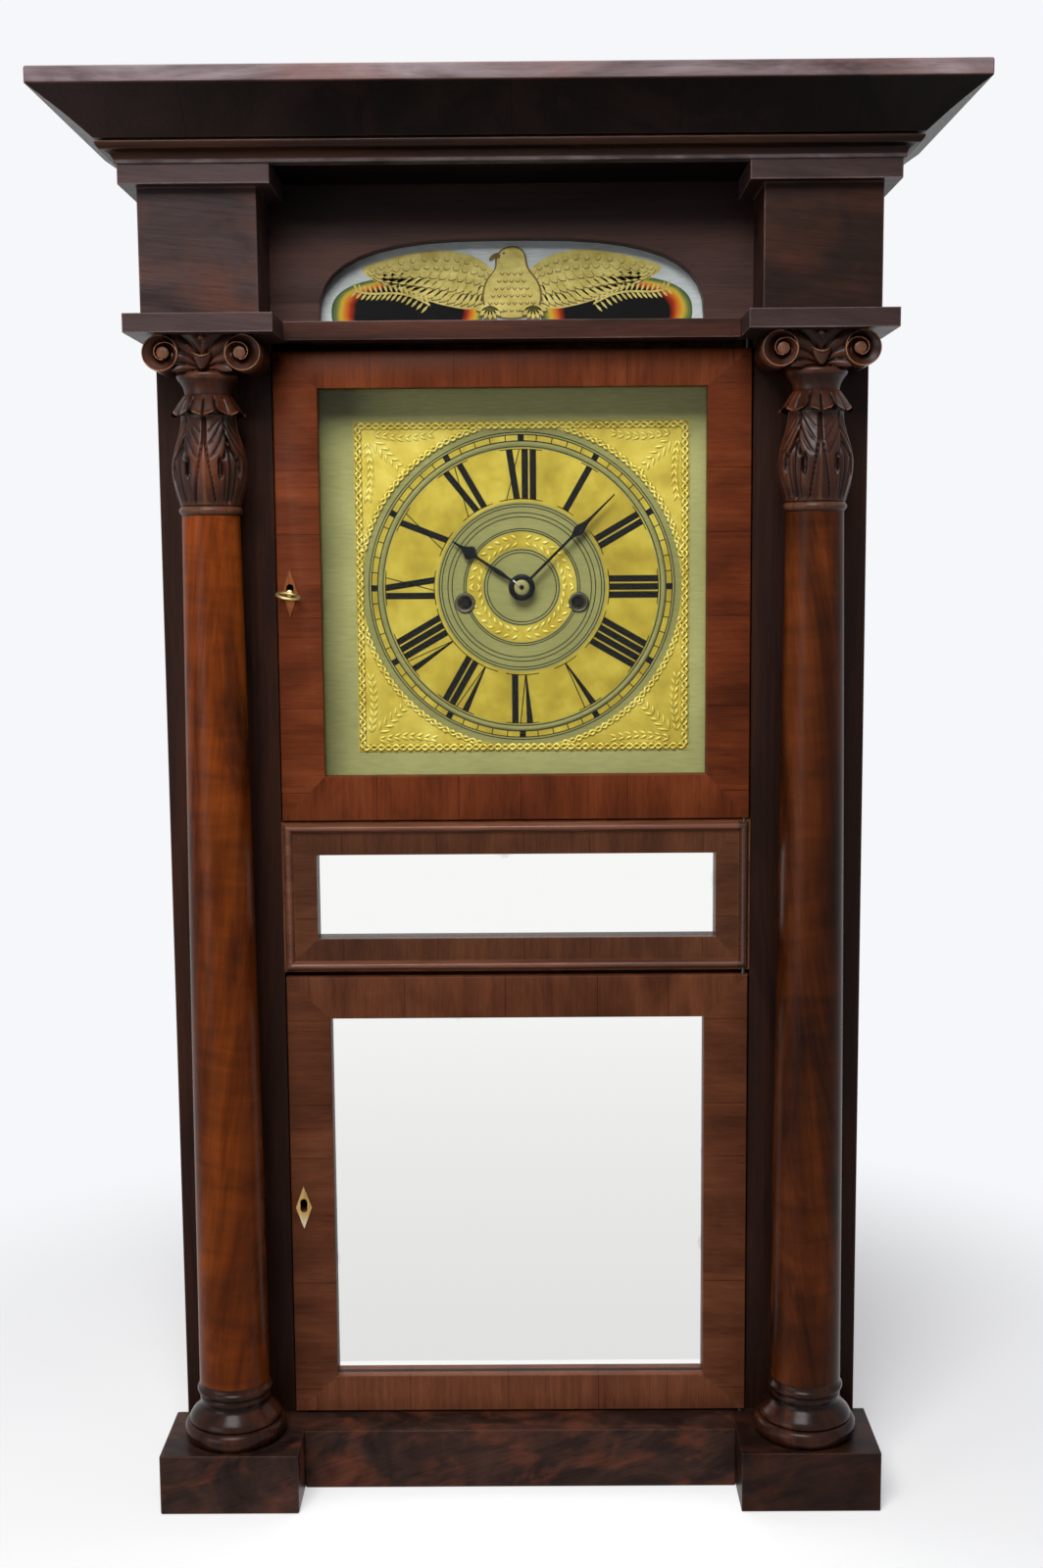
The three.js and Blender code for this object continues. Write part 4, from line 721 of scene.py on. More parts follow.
# Rows with high cut values, at the astragal, in the gap under the petals and under the neck, are darkened:
# painted shade.
capital_rows = [partial(plain, *row) for row in (
    (19.7, capital_foot, 0.8), (19.9, 702.2, 0.6),
    *[(20.0 + 1.6 * math.sin(math.pi * k / 8), 702.4 + 6.2 * k / 8, 0.12) for k in range(1, 8)],
    (20.0, 708.7, 0.7))]
capital_rows += [partial(bell, k / 72) for k in range(73)]
capital_rows += [partial(plain, 17.6, 769.6, 1.0), partial(plain, 17.8, 771.5, 1.0)]
capital_rows += [partial(petal, *row) for row in ((0.16, 2.6), (0.0, 1.6), (0.0, 0.3), (0.0, 0.0),
                                                  (0.06, 0.0))]
capital_rows += [partial(petal, k / 12, 0.0) for k in range(2, 13)]
capital_rows += [partial(plain, *row) for row in (
    (15.6, 782.7, 0.9), (15.6, 783.4, 0.6),
    *[(15.7 + 4.6 * (k / 8) ** 1.8, 783.8 + 9.4 * k / 8, 0.4) for k in range(9)],
    *[(20.3 + 0.6 * math.sin(math.pi * k / 5), 793.4 + 3.4 * k / 5, 0.15) for k in range(6)],
    (19.6, cap_foot, 0.5))]

cap_head = span("column_cap_right", "z")[1]
cap_front, cap_rear = span("column_cap_right", "y")
scroll_radius = 11.95
scroll_x = 27.45
scroll_z = cap_foot + scroll_radius
scroll_rim = 0.85
eye_radius = 4.2
eye_shift = 1.9
eye_rise, eye_tone = 0.3, 0.09
coil = ((0.75, 9.9), (0.88, 8.4), (1.0, 7.0), (1.25, 6.0), (1.5, 4.8))


def scroll_edge(turns):
    outward = eye_shift * math.sin(2 * math.pi * turns)
    return outward + math.sqrt(outward ** 2 - eye_shift ** 2 + scroll_radius ** 2)


def coil_radius(turns):
    for (a, near), (b, far) in zip(coil, coil[1:]):
        if turns <= b:
            return near + (far - near) * (turns - a) / (b - a)


def scroll_depth(rho, turns):
    if rho < eye_radius:
        return eye_rise + 0.7 * (rho / eye_radius) ** 4, eye_tone
    edge = scroll_edge(turns)
    arms = [edge] if turns < 0.9 else []
    arms += [coil_radius(turns + lap) for lap in (0, 1) if coil[0][0] <= turns + lap <= coil[-1][0]]
    outside = [arm for arm in arms if arm >= rho - 0.001]
    inner = max([arm for arm in arms if arm < rho - 0.001], default=eye_radius)
    outer = min(outside, default=edge)
    if outside and outer - rho < scroll_rim:
        return 0.25 * abs((outer - rho) / scroll_rim - 0.5) * 2, 0.0
    share = min(1.0, max(0.0, (outer - rho - scroll_rim) / max(0.6, outer - inner - scroll_rim)))
    return 1.3 + 3.8 * share, 0.3 + 0.55 * share ** 1.5


def add_scroll(blank, x, sign):
    rings, spokes = 48, 96
    eye_x = x - sign * eye_shift
    rims = []
    for front, plane in ((True, cap_front), (False, cap_rear)):
        eye = len(blank.points)
        blank.add((eye_x, plane + eye_rise * front, scroll_z), eye_tone)
        for ring in range(1, rings + 1):
            for spoke in range(spokes):
                turns = spoke / spokes
                rho = scroll_edge(turns) * ring / rings
                swing = 2 * math.pi * turns
                depth, cut = scroll_depth(rho, turns) if front else (0.0, 0.4)
                across, rise = sign * rho * math.sin(swing), rho * math.cos(swing)
                blank.add((eye_x + across, plane + depth, scroll_z + rise), cut)
        blank.faces += [(eye, eye + 1 + spoke, eye + 1 + (spoke + 1) % spokes) for spoke in range(spokes)]
        blank.join(rings, spokes, ends=False)
        rims.append(len(blank.points) - spokes)
    blank.strip(*rims, spokes)


def cap_relief(x, z):
    cup_half = 6.4 * max(0.0, min(1.0, (z - 798.0) / 9.0)) ** 0.5
    cup_top = 807.6 + 2.4 * (x / 6.0) ** 2
    if z < cup_top and abs(x) < cup_half:
        round_cup = math.sqrt(max(0.0, 1 - (abs(x) / max(0.2, cup_half)) ** 2))
        rim = 0.9 if z > cup_top - 1.3 else 0.0
        return 5.6 + 2.8 * round_cup + rim, 0.02 if rim else 0.3
    reach = math.hypot(x, z - 799)
    fan = math.degrees(math.atan2(abs(x), z - 799)) - 1.1 * max(0.0, reach - 9)
    ridge = abs(math.cos(math.radians(fan * 6.4)))
    rise = 2.6 + 3.8 * math.sin(min(1.0, reach / 20) * math.pi / 2) ** 2
    bud = 2.6 * math.exp(-((x / 1.5) ** 2 + ((z - 819.4) / 1.5) ** 2))
    cut = 0.2 + 0.8 * (1 - ridge) ** 1.3
    return rise + 1.7 * ridge ** 0.8 - 1.7 + bud, cut if bud < 0.6 else 0.02


def add_core(blank, axis):
    wide, tall, half = 84, 48, 20.0
    row = wide + 1
    first = len(blank.points)
    for j in range(tall + 1):
        for i in range(row):
            x = -half + 2 * half * i / wide
            z = cap_foot + (cap_head - cap_foot) * j / tall
            rise, cut = cap_relief(x, z)
            blank.add((axis + x, cap_front + 9.5 - rise, z), cut)
    for j in range(tall):
        begin = first + j * row
        blank.faces += [(a, a + 1, a + row + 1, a + row) for a in range(begin, begin + wide)]
    border = [first + k for k in (*range(row), *range(row + wide, (tall + 1) * row, row),
                                  *range(tall * row + wide - 1, tall * row - 1, -1),
                                  *range((tall - 1) * row, 0, -row))]
    back = len(blank.points)
    for i, a in enumerate(border):
        j = (i + 1) % len(border)
        x, y, z = blank.points[a]
        blank.add((x, cap_rear, z), 0.6)
        blank.faces.append((a, border[j], back + j, back + i))
    blank.faces.append(tuple(range(back, back + len(border))))


carving_wood = carved_wood("carving_wood",
                           ((0.019, 0.0058, 0.0032), (0.05, 0.0142, 0.0066), (0.105, 0.0275, 0.0108)),
                           8, (6, 40), 0.75, 0.15, (0.28, 0.4))
base_wood = carved_wood("base_wood",
                        ((0.0115, 0.0042, 0.0027), (0.029, 0.0092, 0.005), (0.066, 0.0178, 0.0078)),
                        8, (6, 40), 0.2, 0.11, (0.2, 0.3))
# The left shaft takes a lighter copy of the wood, painted light from the left; the right a darker one, partly
# darker figure and partly painted shade. Both are also tinted by height.
for side, sign, tones, heights in (
        ("left", -1, ((0.05, 0.0105, 0.0025), (0.205, 0.039, 0.0045), (0.37, 0.081, 0.0105)),
         ((0.1, 0.62), (0.45, 0.58), (0.62, 1.0))),
        ("right", 1, ((0.016, 0.0042, 0.0016), (0.068, 0.0148, 0.003), (0.15, 0.034, 0.0066)),
         ((0.1, 0.95), (0.36, 0.62), (0.5, 0.66), (0.66, 1.0)))):
    axis = sign * column_x
    shaft_wood = carved_wood("shaft_wood_painted_light_" + side, tones, 7 * sign, (4, 26), 0.0, 0.07, (0.24, 0.34), heights)
    round_piece("turned_base_" + side, base_rows, axis, base_wood, "column_base_" + side)
    round_piece("turned_shaft_" + side, shaft_rows, axis, shaft_wood, "column_shaft_" + side)
    round_piece("carved_capital_" + side, capital_rows, axis, carving_wood, "column_capital_" + side, 240)
    blank = Blank()
    add_core(blank, axis)
    for way in (-1, 1):
        add_scroll(blank, axis + way * scroll_x, way)
    cap = make_piece("scrolled_cap_" + side, blank, carving_wood, smooth=50)
    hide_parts("column_cap_" + side)

# Doors and middle panel: pine frames faced with red crossbanded veneer, the grain of each member
# running across it and mitred at the corners. The panel has a half-round bead round its edge.


def out_of_opening(tree, half, opening, foot, head, low, top):
    x, y, z = parts(tree)
    over = []
    for begin, end, length in ((reckon(tree, "ABSOLUTE", x), opening * mm, half - opening),
                               (low * mm, z, low - foot), (z, top * mm, head - top)):
        over.append(reckon(tree, "DIVIDE", reckon(tree, "SUBTRACT", begin, end), length * mm))
    return x, y, z, over[0], reckon(tree, "MAXIMUM", *over[1:])


def rabbet(*sizes):
    def dark(tree):
        x, y, z, beside, past = out_of_opening(tree, *sizes)
        inside = spread(tree, reckon(tree, "MAXIMUM", beside, past), 0.03, 0.06, 1.0, 0.0)
        return reckon(tree, "MULTIPLY", inside, spread(tree, y, 0.0052, 0.006, 0.0, 0.92))
    return dark


def crossband(*sizes):
    def along(tree):
        x, y, z, beside, past = out_of_opening(tree, *sizes)
        rail = reckon(tree, "GREATER_THAN", past, beside)
        across = mix(tree, rail, z, reckon(tree, "ADD", x, 0.73))
        return put(tree, "CombineXYZ", mix(tree, rail, x, z), across, y)
    return along


def mitred_frame(name, sizes, section, finish, body, node):
    half, opening, foot, head, low, top = sizes
    blank = Blank()
    for side, outer, inner in ((-1, foot, low), (1, foot, low), (1, head, top), (-1, head, top)):
        blank.points += [(side * (half + (opening - half) * share), stile_face - reach,
                          outer + (inner - outer) * share) for share, reach in section]
    blank.join(4, len(section), ends=False, wrap=True)
    piece = make_piece(name, blank, finish, body, smooth=40)
    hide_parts(node)
    return piece


keyhole_x = middle_of("upper_escutcheon", "x")
keyhole_heights = {"upper_door": middle_of("upper_escutcheon", "z"),
                   "lower_door": middle_of("lower_escutcheon", "z")}
slot_half, slot_low, slot_high = 2.6, -3.8, 6.6


def bore(piece, height):
    outline = []
    for k in range(24):
        turn = 2 * math.pi * (k + 0.5) / 24
        end = slot_high - slot_half if turn < math.pi else slot_low + slot_half
        outline.append((keyhole_x + slot_half * math.cos(turn), height + end + slot_half * math.sin(turn)))
    blank = Blank()
    blank.coat(outline, 40, 60, 80)
    cutter = bpy.data.objects.new("slot", mesh_of("slot", blank))
    scene.collection.objects.link(cutter)
    cut = piece.modifiers.new("keyhole", "BOOLEAN")
    cut.object = cutter
    cut.solver = "EXACT"
    bored = bpy.data.meshes.new_from_object(piece.evaluated_get(bpy.context.evaluated_depsgraph_get()))
    piece.modifiers.remove(cut)
    piece.data = bored
    bpy.data.objects.remove(cutter)


worn_red = (0.2, 0.075, 0.03)
door_section = [(0, -15.8), (0, 3.2), (0.012, 3.8), (0.035, 4.2), (0.965, 4.2), (0.988, 3.9), (1, 3.3),
                (1, -5.8), (0.81, -5.8), (0.81, -15.8)]
door_half = span("upper_door_frame", "x")[1]
lower_opening = (135.1, 71.6, 342.6)
middle_opening = (143, 401, 462)
# The upper door's head rail is darkened below the ledge (painted shade), and the lower door's foot rail is
# lightened (painted light).
for door, tones, sizes, figure, joints, stain_and_painted_light in (
        ("upper_door", ((0.062, 0.0145, 0.0055), (0.12, 0.0265, 0.0085), (0.18, 0.043, 0.0135)),
         (door_half, 135.6, 487, 815.5, 519, 790), (9, 26), 16,
         (fades("Z", 0.789, 0.808, 0.55), (0.036, 0.0105, 0.0035))),
        ("lower_door", ((0.052, 0.0165, 0.0078), (0.1, 0.031, 0.0138), (0.15, 0.05, 0.021)),
         (door_half, lower_opening[0], 44.6, 373.3, *lower_opening[1:]), (8, 24), 14,
         (fades("Z", 0.085, 0.055, 0.75), (0.2, 0.068, 0.034)))):
    veneer = wood(door + "_veneer", tones, crossband(*sizes), figure=figure, streak=(14, 330), joints=joints,
                  rub=worn_red, swirl=0.6, shine=0.05, plates=stain_and_painted_light, rabbet_darkening=rabbet(*sizes))
    bore(mitred_frame(door, sizes, door_section, veneer, door, door + "_frame"), keyhole_heights[door])
middle_sizes = (span("middle_panel", "x")[1], middle_opening[0], *span("middle_panel", "z"),
                *middle_opening[1:])
middle_veneer = wood("middle_panel_veneer",
                     ((0.042, 0.0145, 0.0075), (0.078, 0.0275, 0.0125), (0.12, 0.042, 0.018)),
                     crossband(*middle_sizes), figure=(8, 24), streak=(14, 330), joints=15, rub=worn_red,
                     rabbet_darkening=rabbet(*middle_sizes))
# The bead is darker along the panel's right-hand side: painted shade.
bead_wood = wood("bead_wood", ((0.075, 0.025, 0.013), (0.15, 0.052, 0.027), (0.23, 0.09, 0.05)), grain("x"),
                 shine=0.3, gloss=(0.24, 0.36),
                 plates=(fades("X", 0.1585, 0.1595, 0.9), (0.024, 0.009, 0.005)))
bead_foot = 2.0
bead = [(0.046 + 0.28 * k / 12, bead_foot + 4.0 * math.sin(math.pi * k / 12) ** 0.8) for k in range(13)]
middle_section = [(0, -14), (0, 2)] + bead + [(0.97, 2), (1, 1.4), (1, -8), (0.76, -8), (0.76, -14)]
middle = mitred_frame("middle_frame", middle_sizes, middle_section, middle_veneer, "case", "middle_panel")
middle.data.materials.append(bead_wood)
for face in middle.data.polygons:
    face.material_index = int(face.center.y < (stile_face - bead_foot - 0.05) * mm)

# Hinge pins: short steel pins driven into the right-hand edge of each door, turning in holes
# above and below it. The ends are filed round.
pin_x = 163.0
pin_y = stile_face - 2.0
pin_radius = 1.25
x_way, y_way, z_way = [Vector(way) for way in ((1, 0, 0), (0, 1, 0), (0, 0, 1))]


def metal(name, tones, rough, scale=90, metallic=1.0):
    finish, tree = start(name)
    spot = place(tree)
    stain_and_painted_light = cloud(tree, spot, scale, 5.0, 0.65)
    scratch = cloud(tree, put(tree, "Mapping", spot, Scale=(60, 60, 900)), 1.0, 3.0)
    marks = reckon(tree, "ADD", stain_and_painted_light, scratch)
    colour = shade(tree, stain_and_painted_light, *zip((0.32, 0.55, 0.75), tones))
    return coated(finish, colour, spread(tree, marks, 0.7, 1.3, *rough), Metallic=metallic,
                  Normal=bump(tree, 0.12, 0.0002, marks))


def turned(blank, foot, way, across, other, rings, sides, ends=True):
    for radius, run in rings:
        for i in range(sides):
            turn = 2 * math.pi * i / sides
            out = across * radius * math.cos(turn) + other * radius * math.sin(turn)
            blank.points.append(Vector(foot) + way * run + out)
    blank.join(len(rings), sides, ends)


pin_steel = metal("pin_steel", ((0.03, 0.028, 0.026), (0.075, 0.07, 0.066), (0.16, 0.15, 0.145)), (0.4, 0.6))
for door, roots in (("upper_door", (488, 814.5)), ("lower_door", (46, 372))):
    blank = Blank()
    for inside, tip in zip(roots, span(door + "_frame", "z")):
        ease = math.copysign(0.5, tip - inside)
        rings = [(pin_radius, inside), (pin_radius, tip - ease), (pin_radius * 0.6, tip)]
        turned(blank, (pin_x, pin_y, 0), z_way, x_way, y_way, rings, 20)
    make_piece(door + "_pins", blank, pin_steel, door, smooth=40)

# Panes: thin blown glass, slightly uneven, set in rabbets. The lower two are silvered behind, with a
# dull grey back, and have begun to cloud at the edges.
clear_pane, tree = start("clear_pane")
ripple = bump(tree, 0.1, 0.002, cloud(tree, place(tree), 9.0, 2.0))
sheen = put(tree, "BsdfGlossy", Color=(1, 1, 1), Roughness=0.03, Normal=ripple)
through = put(tree, "BsdfTransparent", Color=(0.97, 0.985, 0.97))
slant = put(tree, "LayerWeight", Blend=0.5).outputs["Facing"]
edge = spread(tree, reckon(tree, "POWER", slant, 5.0), 0.0, 1.0, 0.006, 0.8)
put(tree, "OutputMaterial", put(tree, "MixShader", edge, through, sheen))
dress(clear_pane, 0, "upper_door_glass")


def silvered_pane(name, half, low, top):
    finish, tree = start(name)
    spot = place(tree)
    x, y, z = parts(tree)
    mottle = cloud(tree, spot, 26.0, 5.0, 0.65)
    inset = reckon(tree, "SUBTRACT", half * mm, reckon(tree, "ABSOLUTE", x))
    for end in (reckon(tree, "SUBTRACT", z, low * mm), reckon(tree, "SUBTRACT", top * mm, z)):
        inset = reckon(tree, "MINIMUM", inset, end)
    worn = reckon(tree, "ADD", inset, vary(tree, mottle, -0.008, 0.008))
    silver = shade(tree, spread(tree, worn, -0.007, -0.002, 0.0, 1.0), (0.0, (0.7, 0.7, 0.68)),
                   (1.0, (0.96, 0.97, 0.955)))
    behind = put(tree, "SeparateXYZ", put(tree, "TexCoord").outputs["Normal"]).outputs["Y"]
    back = reckon(tree, "GREATER_THAN", behind, 0.5)
    colour = mix(tree, back, silver, vary(tree, mottle, 0.1, 0.16))
    rough = reckon(tree, "MAXIMUM", vary(tree, mottle, 0.01, 0.04), reckon(tree, "MULTIPLY", back, 0.7))
    return coated(finish, colour, rough, Metallic=reckon(tree, "SUBTRACT", 1.0, back),
                  Normal=bump(tree, 0.08, 0.002, cloud(tree, spot, 6.0, 1.0)))


dress(silvered_pane("lower_silvering", *lower_opening), 0, "lower_door_mirror")
dress(silvered_pane("middle_silvering", *middle_opening), 0, "middle_mirror")

# Escutcheons, locks and bolts: a wooden diamond let in round the upper keyhole and a bone one round
# the lower, with iron box locks screwed behind them that shoot a brass bolt.
diamond_wood = wood("escutcheon_wood", ((0.12, 0.034, 0.011), (0.21, 0.063, 0.02), (0.29, 0.1, 0.036)),
                    grain("z", shift=0.05), figure=(20, 160))
bone_finish = wood("bone_inlay", ((0.33, 0.19, 0.052), (0.52, 0.32, 0.1), (0.66, 0.46, 0.2)),
                   grain("z", shift=0.15), figure=(40, 220), gloss=(0.3, 0.45), shine=0.3,
                   plates=(fades("Z", 0.1975, 0.188), (0.84, 0.74, 0.55)))
for door, half_wide, half_high, finish, slot in (("upper_door", 5.4, 16.9, diamond_wood, "red_wood"),
                                                 ("lower_door", 5.8, 16.0, bone_finish, "bone")):
    node = door.replace("door", "escutcheon")
    near, far = span(node, "y")
    height = keyhole_heights[door]
    blank = Blank()
    blank.coat([(keyhole_x, height - half_high), (keyhole_x + half_wide, height),
                (keyhole_x, height + half_high), (keyhole_x - half_wide, height)], near, 0, far - near)
    plate = make_piece(node + "_plate", blank, finish, door)
    bore(plate, height)
    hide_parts(node)
iron = metal("lock_iron", ((0.03, 0.027, 0.025), (0.06, 0.055, 0.05), (0.1, 0.085, 0.07)), (0.45, 0.65))
brass = metal("brass", ((0.3, 0.19, 0.055), (0.6, 0.42, 0.15), (0.75, 0.57, 0.25)), (0.2, 0.38))
dress(iron, 0.4, "upper_lock", "lower_lock")
dress(brass, 0.4, "upper_bolt", "lower_bolt")

# Key: cast brass with an open oval bow filed smooth, a collar, a round shank and a flat bit. It is
# left in the upper lock, and the bow droops a little.
key_z = keyhole_heights["upper_door"]
bow_foot = Vector((keyhole_x, -7.0, key_z))
bow_half = (7.7, 6.0)
bow_lean = Matrix.Rotation(math.radians(10), 3, "Y") @ Matrix.Rotation(math.radians(16), 3, "X")
bow_sides, bow_steps = 12, 48


def facing(blank, x, z, rings, sides, ends=True):
    turned(blank, (x, 0, z), y_way, x_way, z_way, rings, sides, ends)


blank = Blank()
for k in range(bow_steps):
    across, rise = math.cos(2 * math.pi * k / bow_steps), math.sin(2 * math.pi * k / bow_steps)
    for i in range(bow_sides):
        swing = 2 * math.pi * i / bow_sides
        reach = 1.3 * math.cos(swing)
        drop = bow_half[1] * (rise - 1) + reach * rise
        spot = Vector(((bow_half[0] + reach) * across, drop, 1.1 * math.sin(swing)))
        blank.points.append(bow_foot + bow_lean @ spot)
blank.join(bow_steps, bow_sides, ends=False, wrap=True)
shank = [(1.9, -7.4), (2.5, -6.9), (2.5, -5.9), (2.1, -5.4), (2.5, -4.9), (2.5, -4.3), (2.1, -3.8),
         (2.1, 24.9), (1.7, 25.4)]
facing(blank, keyhole_x, key_z, shank, 20)
bit = [(keyhole_x, key_z - 0.8), (keyhole_x + 5.5, key_z - 0.8), (keyhole_x + 5.5, key_z + 0.8),
       (keyhole_x, key_z + 0.8)]
blank.coat(bit, 21.4, 0, 4.0)
key_brass = metal("key_brass",
                  ((0.28, 0.2, 0.06), (0.5, 0.39, 0.16), (0.62, 0.51, 0.25)), (0.36, 0.5), 90, 0.85)
key = make_piece("brass_key", blank, key_brass, "door_key", smooth=45)
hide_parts("door_key")

# Dial: a wooden board painted grey-green, with a gilded square of raised gesso, a gilt chapter ring
# inside a raised bead, and black painted numerals. The gesso border is a two-strand rope, with
# leaves in the corners.
bush_rise = 1.6
dial_plane = span("dial_board", "y")[0] + bush_rise
dial_x, dial_z = [middle_of("centre_wheel", axis) for axis in "xz"]
winding_holes = [[middle_of(drum, axis) for axis in "xz"] for drum in ("time_drum", "strike_drum")]
bush_cover = 6.2


def from_axis(tree, x, z):
    part = parts(tree)
    reach = [reckon(tree, "POWER", reckon(tree, "SUBTRACT", part[axis], middle * mm), 2.0)
             for axis, middle in (("X", x), ("Z", z))]
    return reckon(tree, "SQRT", reckon(tree, "ADD", *reach))


def round_field(tree):
    return spread(tree, from_axis(tree, dial_x, dial_z), 0.119, 0.114, 0.0, 1.0)


def gilding(name, tones, relief):
    finish, tree = start(name)
    cloudy = cloud(tree, place(tree), 45.0, 5.0, 0.6)
    grit = cloud(tree, place(tree), 900.0, 3.0)
    colour = shade(tree, cloudy, *zip((0.3, 0.5, 0.72), tones))
    colour = tint(tree, colour, spread(tree, grit, 0.3, 0.45, 0.8, 1.0))
    cut = put(tree, "Attribute", attribute_name="cut").outputs["Fac"]
    colour = mix(tree, spread(tree, cut, 0.3, 1.0, 0.0, 0.85), colour, (0.2, 0.1, 0.012))
    return coated(finish, colour, vary(tree, cloudy, 0.34, 0.52), Metallic=0.25, Specular_IOR_Level=0.35,
                  Normal=bump(tree, relief, 0.0004, reckon(tree, "ADD", cloudy, grit)))


dial_ground = oil_paint("dial_ground", ((0.375, 0.355, 0.142), (0.47, 0.44, 0.18)), 14, 0.42,
                        field=(round_field, (0.72, 0.72, 0.66)))
dress(dial_ground, 0, "dial_board")
gold_leaf = gilding("gold_leaf", ((0.375, 0.262, 0.0165), (0.49, 0.355, 0.027), (0.62, 0.48, 0.062)), 0.15)
corner_gold = gilding("corner_gold", ((0.47, 0.338, 0.031), (0.61, 0.45, 0.054), (0.74, 0.59, 0.11)), 0.2)
gesso_gold = gilding("gesso_gold", ((0.6, 0.45, 0.055), (0.76, 0.61, 0.11), (0.88, 0.76, 0.23)), 0.3)
black_paint = oil_paint("black_paint", ((0.002, 0.0018, 0.0015), (0.005, 0.0045, 0.0035)), 200, 0.5)
line_paint = oil_paint("line_paint", ((0.012, 0.01, 0.005), (0.028, 0.024, 0.011)), 200, 0.45)


def polar(radius, degrees):
    turn = math.radians(degrees)
    return (dial_x + radius * math.sin(turn), dial_z + radius * math.cos(turn))


def on_dial(spot, lift):
    return (spot[0], dial_plane - lift, spot[1])


def band(blank, inner, outer, begin, end, lift, steps):
    around = [begin + (end - begin) * k / steps for k in range(steps + 1)]
    outline = [polar(outer, angle) for angle in around] + [polar(inner, angle) for angle in around[::-1]]
    blank.coat(outline, dial_plane, lift)


def turned_ring(blank, section, steps=120):
    for radius, lift in section:
        blank.points += [on_dial(polar(radius, 360 * k / steps), lift) for k in range(steps)]
    blank.join(len(section), steps, ends=False, wrap=True)


def whole_ring(blank, inner, outer, lift):
    foot = lift - 0.05
    turned_ring(blank, [(inner, lift), (outer, lift), (outer, foot), (inner, foot)])


def under_bush(radius, degrees):
    return any(math.dist(polar(radius, degrees), hole) < bush_cover for hole in winding_holes)


def ring_parts(blank, inner, outer, lift):
    steps = 180
    covered = [k for k in range(steps) if under_bush((inner + outer) / 2, 360 * k / steps)]
    if not covered:
        whole_ring(blank, inner, outer, lift)
        return
    clear = [k for k in range(covered[0], covered[0] + steps + 1) if k % steps not in covered]
    run = [clear[0]]
    for k in clear[1:] + [None]:
        if k is not None and k == run[-1] + 1:
            run.append(k)
            continue
        band(blank, inner, outer, run[0] * 360 / steps, run[-1] * 360 / steps, lift, max(1, len(run) - 1))
        run = [k]


square = (-114.0, 126.0, 533.0, 769.5)
hole_radius = 115.2


def square_edge(degrees):
    turn = math.radians(degrees)
    reach = []
    for value, low, high, middle in ((math.sin(turn), *square[:2], dial_x),
                                     (math.cos(turn), *square[2:], dial_z)):
        if abs(value) > 1e-6:
            reach.append((high - middle if value > 0 else middle - low) / abs(value))
    return min(reach)


corner_turns = [math.degrees(math.atan2(x - dial_x, z - dial_z)) % 360
                for x in square[:2] for z in square[2:]]
turns = sorted(set([k * 1.5 for k in range(240)] + corner_turns))
inside = [polar(min(hole_radius, square_edge(turn) - 2.4), turn) for turn in turns]
outside = [polar(square_edge(turn), turn) for turn in turns]
blank = Blank()
for spots, lift in ((inside, 0.55), (outside, 0.55), (outside, 0.0), (inside, 0.0)):
    blank.points += [on_dial(spot, lift) for spot in spots]
blank.join(4, len(turns), ends=False, wrap=True)
make_piece("gilt_square", blank, corner_gold, smooth=30)


def rope(blank, path, wave, swing, thick, lift):
    lengths = [0.0]
    for a, b in zip(path, path[1:]):
        lengths.append(lengths[-1] + (Vector(b) - Vector(a)).length)
    laps = max(1, round(lengths[-1] / wave))
    steps, sides = laps * 12, 8
    for strand in (0, math.pi):
        k = 0
        for step in range(steps + 1):
            run = lengths[-1] * step / steps
            while k < len(path) - 2 and lengths[k + 1] < run:
                k += 1
            share = (run - lengths[k]) / max(1e-6, lengths[k + 1] - lengths[k])
            a, b = Vector(path[k]), Vector(path[k + 1])
            ahead = (b - a).normalized()
            side = Vector((-ahead.y, ahead.x))
            phase = 2 * math.pi * laps * step / steps + strand
            middle = a.lerp(b, share) + side * swing * math.sin(phase)
            height = lift + 0.45 * math.cos(2 * phase + strand)
            for i in range(sides):
                turn = 2 * math.pi * i / sides
                blank.add(on_dial(middle + side * math.cos(turn) * thick, height + math.sin(turn) * thick),
                          1 - max(0.0, math.sin(turn)))
        blank.join(steps + 1, sides)


ropes, glaze = Blank(), Blank()
edge = 3.0
glaze_half = 2.6
left, right, foot, head = square[0] + edge, square[1] - edge, square[2] + edge, square[3] - edge
middles = ((left, right, foot, foot), (left, right, head, head),
           (left, left, foot, head), (right, right, foot, head))
for low_x, high_x, low_z, high_z in middles:
    rise = -glaze_half if low_z < high_z else glaze_half
    low_x, high_x, low_z, high_z = low_x - glaze_half, high_x + glaze_half, low_z - rise, high_z + rise
    glaze.coat([(low_x, low_z), (high_x, low_z), (high_x, high_z), (low_x, high_z)], dial_plane, 0.6, 0.06)
corners = ((left, foot), (right, foot), (right, head), (left, head))
for path in zip(corners, corners[1:] + corners[:1]):
    rope(ropes, path, 10.6, 1.8, 1.15, 0.75)
for corner in range(4):
    around = [45 + corner * 90 + (k - 30) * 1.28 for k in range(61)]
    arc = [polar(hole_radius + 1.6, turn) for turn in around if square_edge(turn) - 5.4 > hole_radius + 1.6]
    rope(ropes, arc, 10.4, 1.5, 1.05, 0.72)
    outside, inside = [[Vector(spot).lerp(Vector((dial_x, dial_z)), shift / hole_radius) for spot in arc]
                       for shift in (-1.9, 1.2)]
    glaze.coat(outside + inside[::-1], dial_plane, 0.6, 0.06)
rope_glaze = oil_paint("rope_glaze", ((0.38, 0.25, 0.026), (0.5, 0.35, 0.045)), 300)
make_piece("umber_glaze", glaze, rope_glaze)
make_piece("gesso_rope", ropes, gesso_gold, smooth=70)

leaf_section = ((-1, 0), (-0.62, 0.75), (0, 1), (0.62, 0.75), (1, 0))


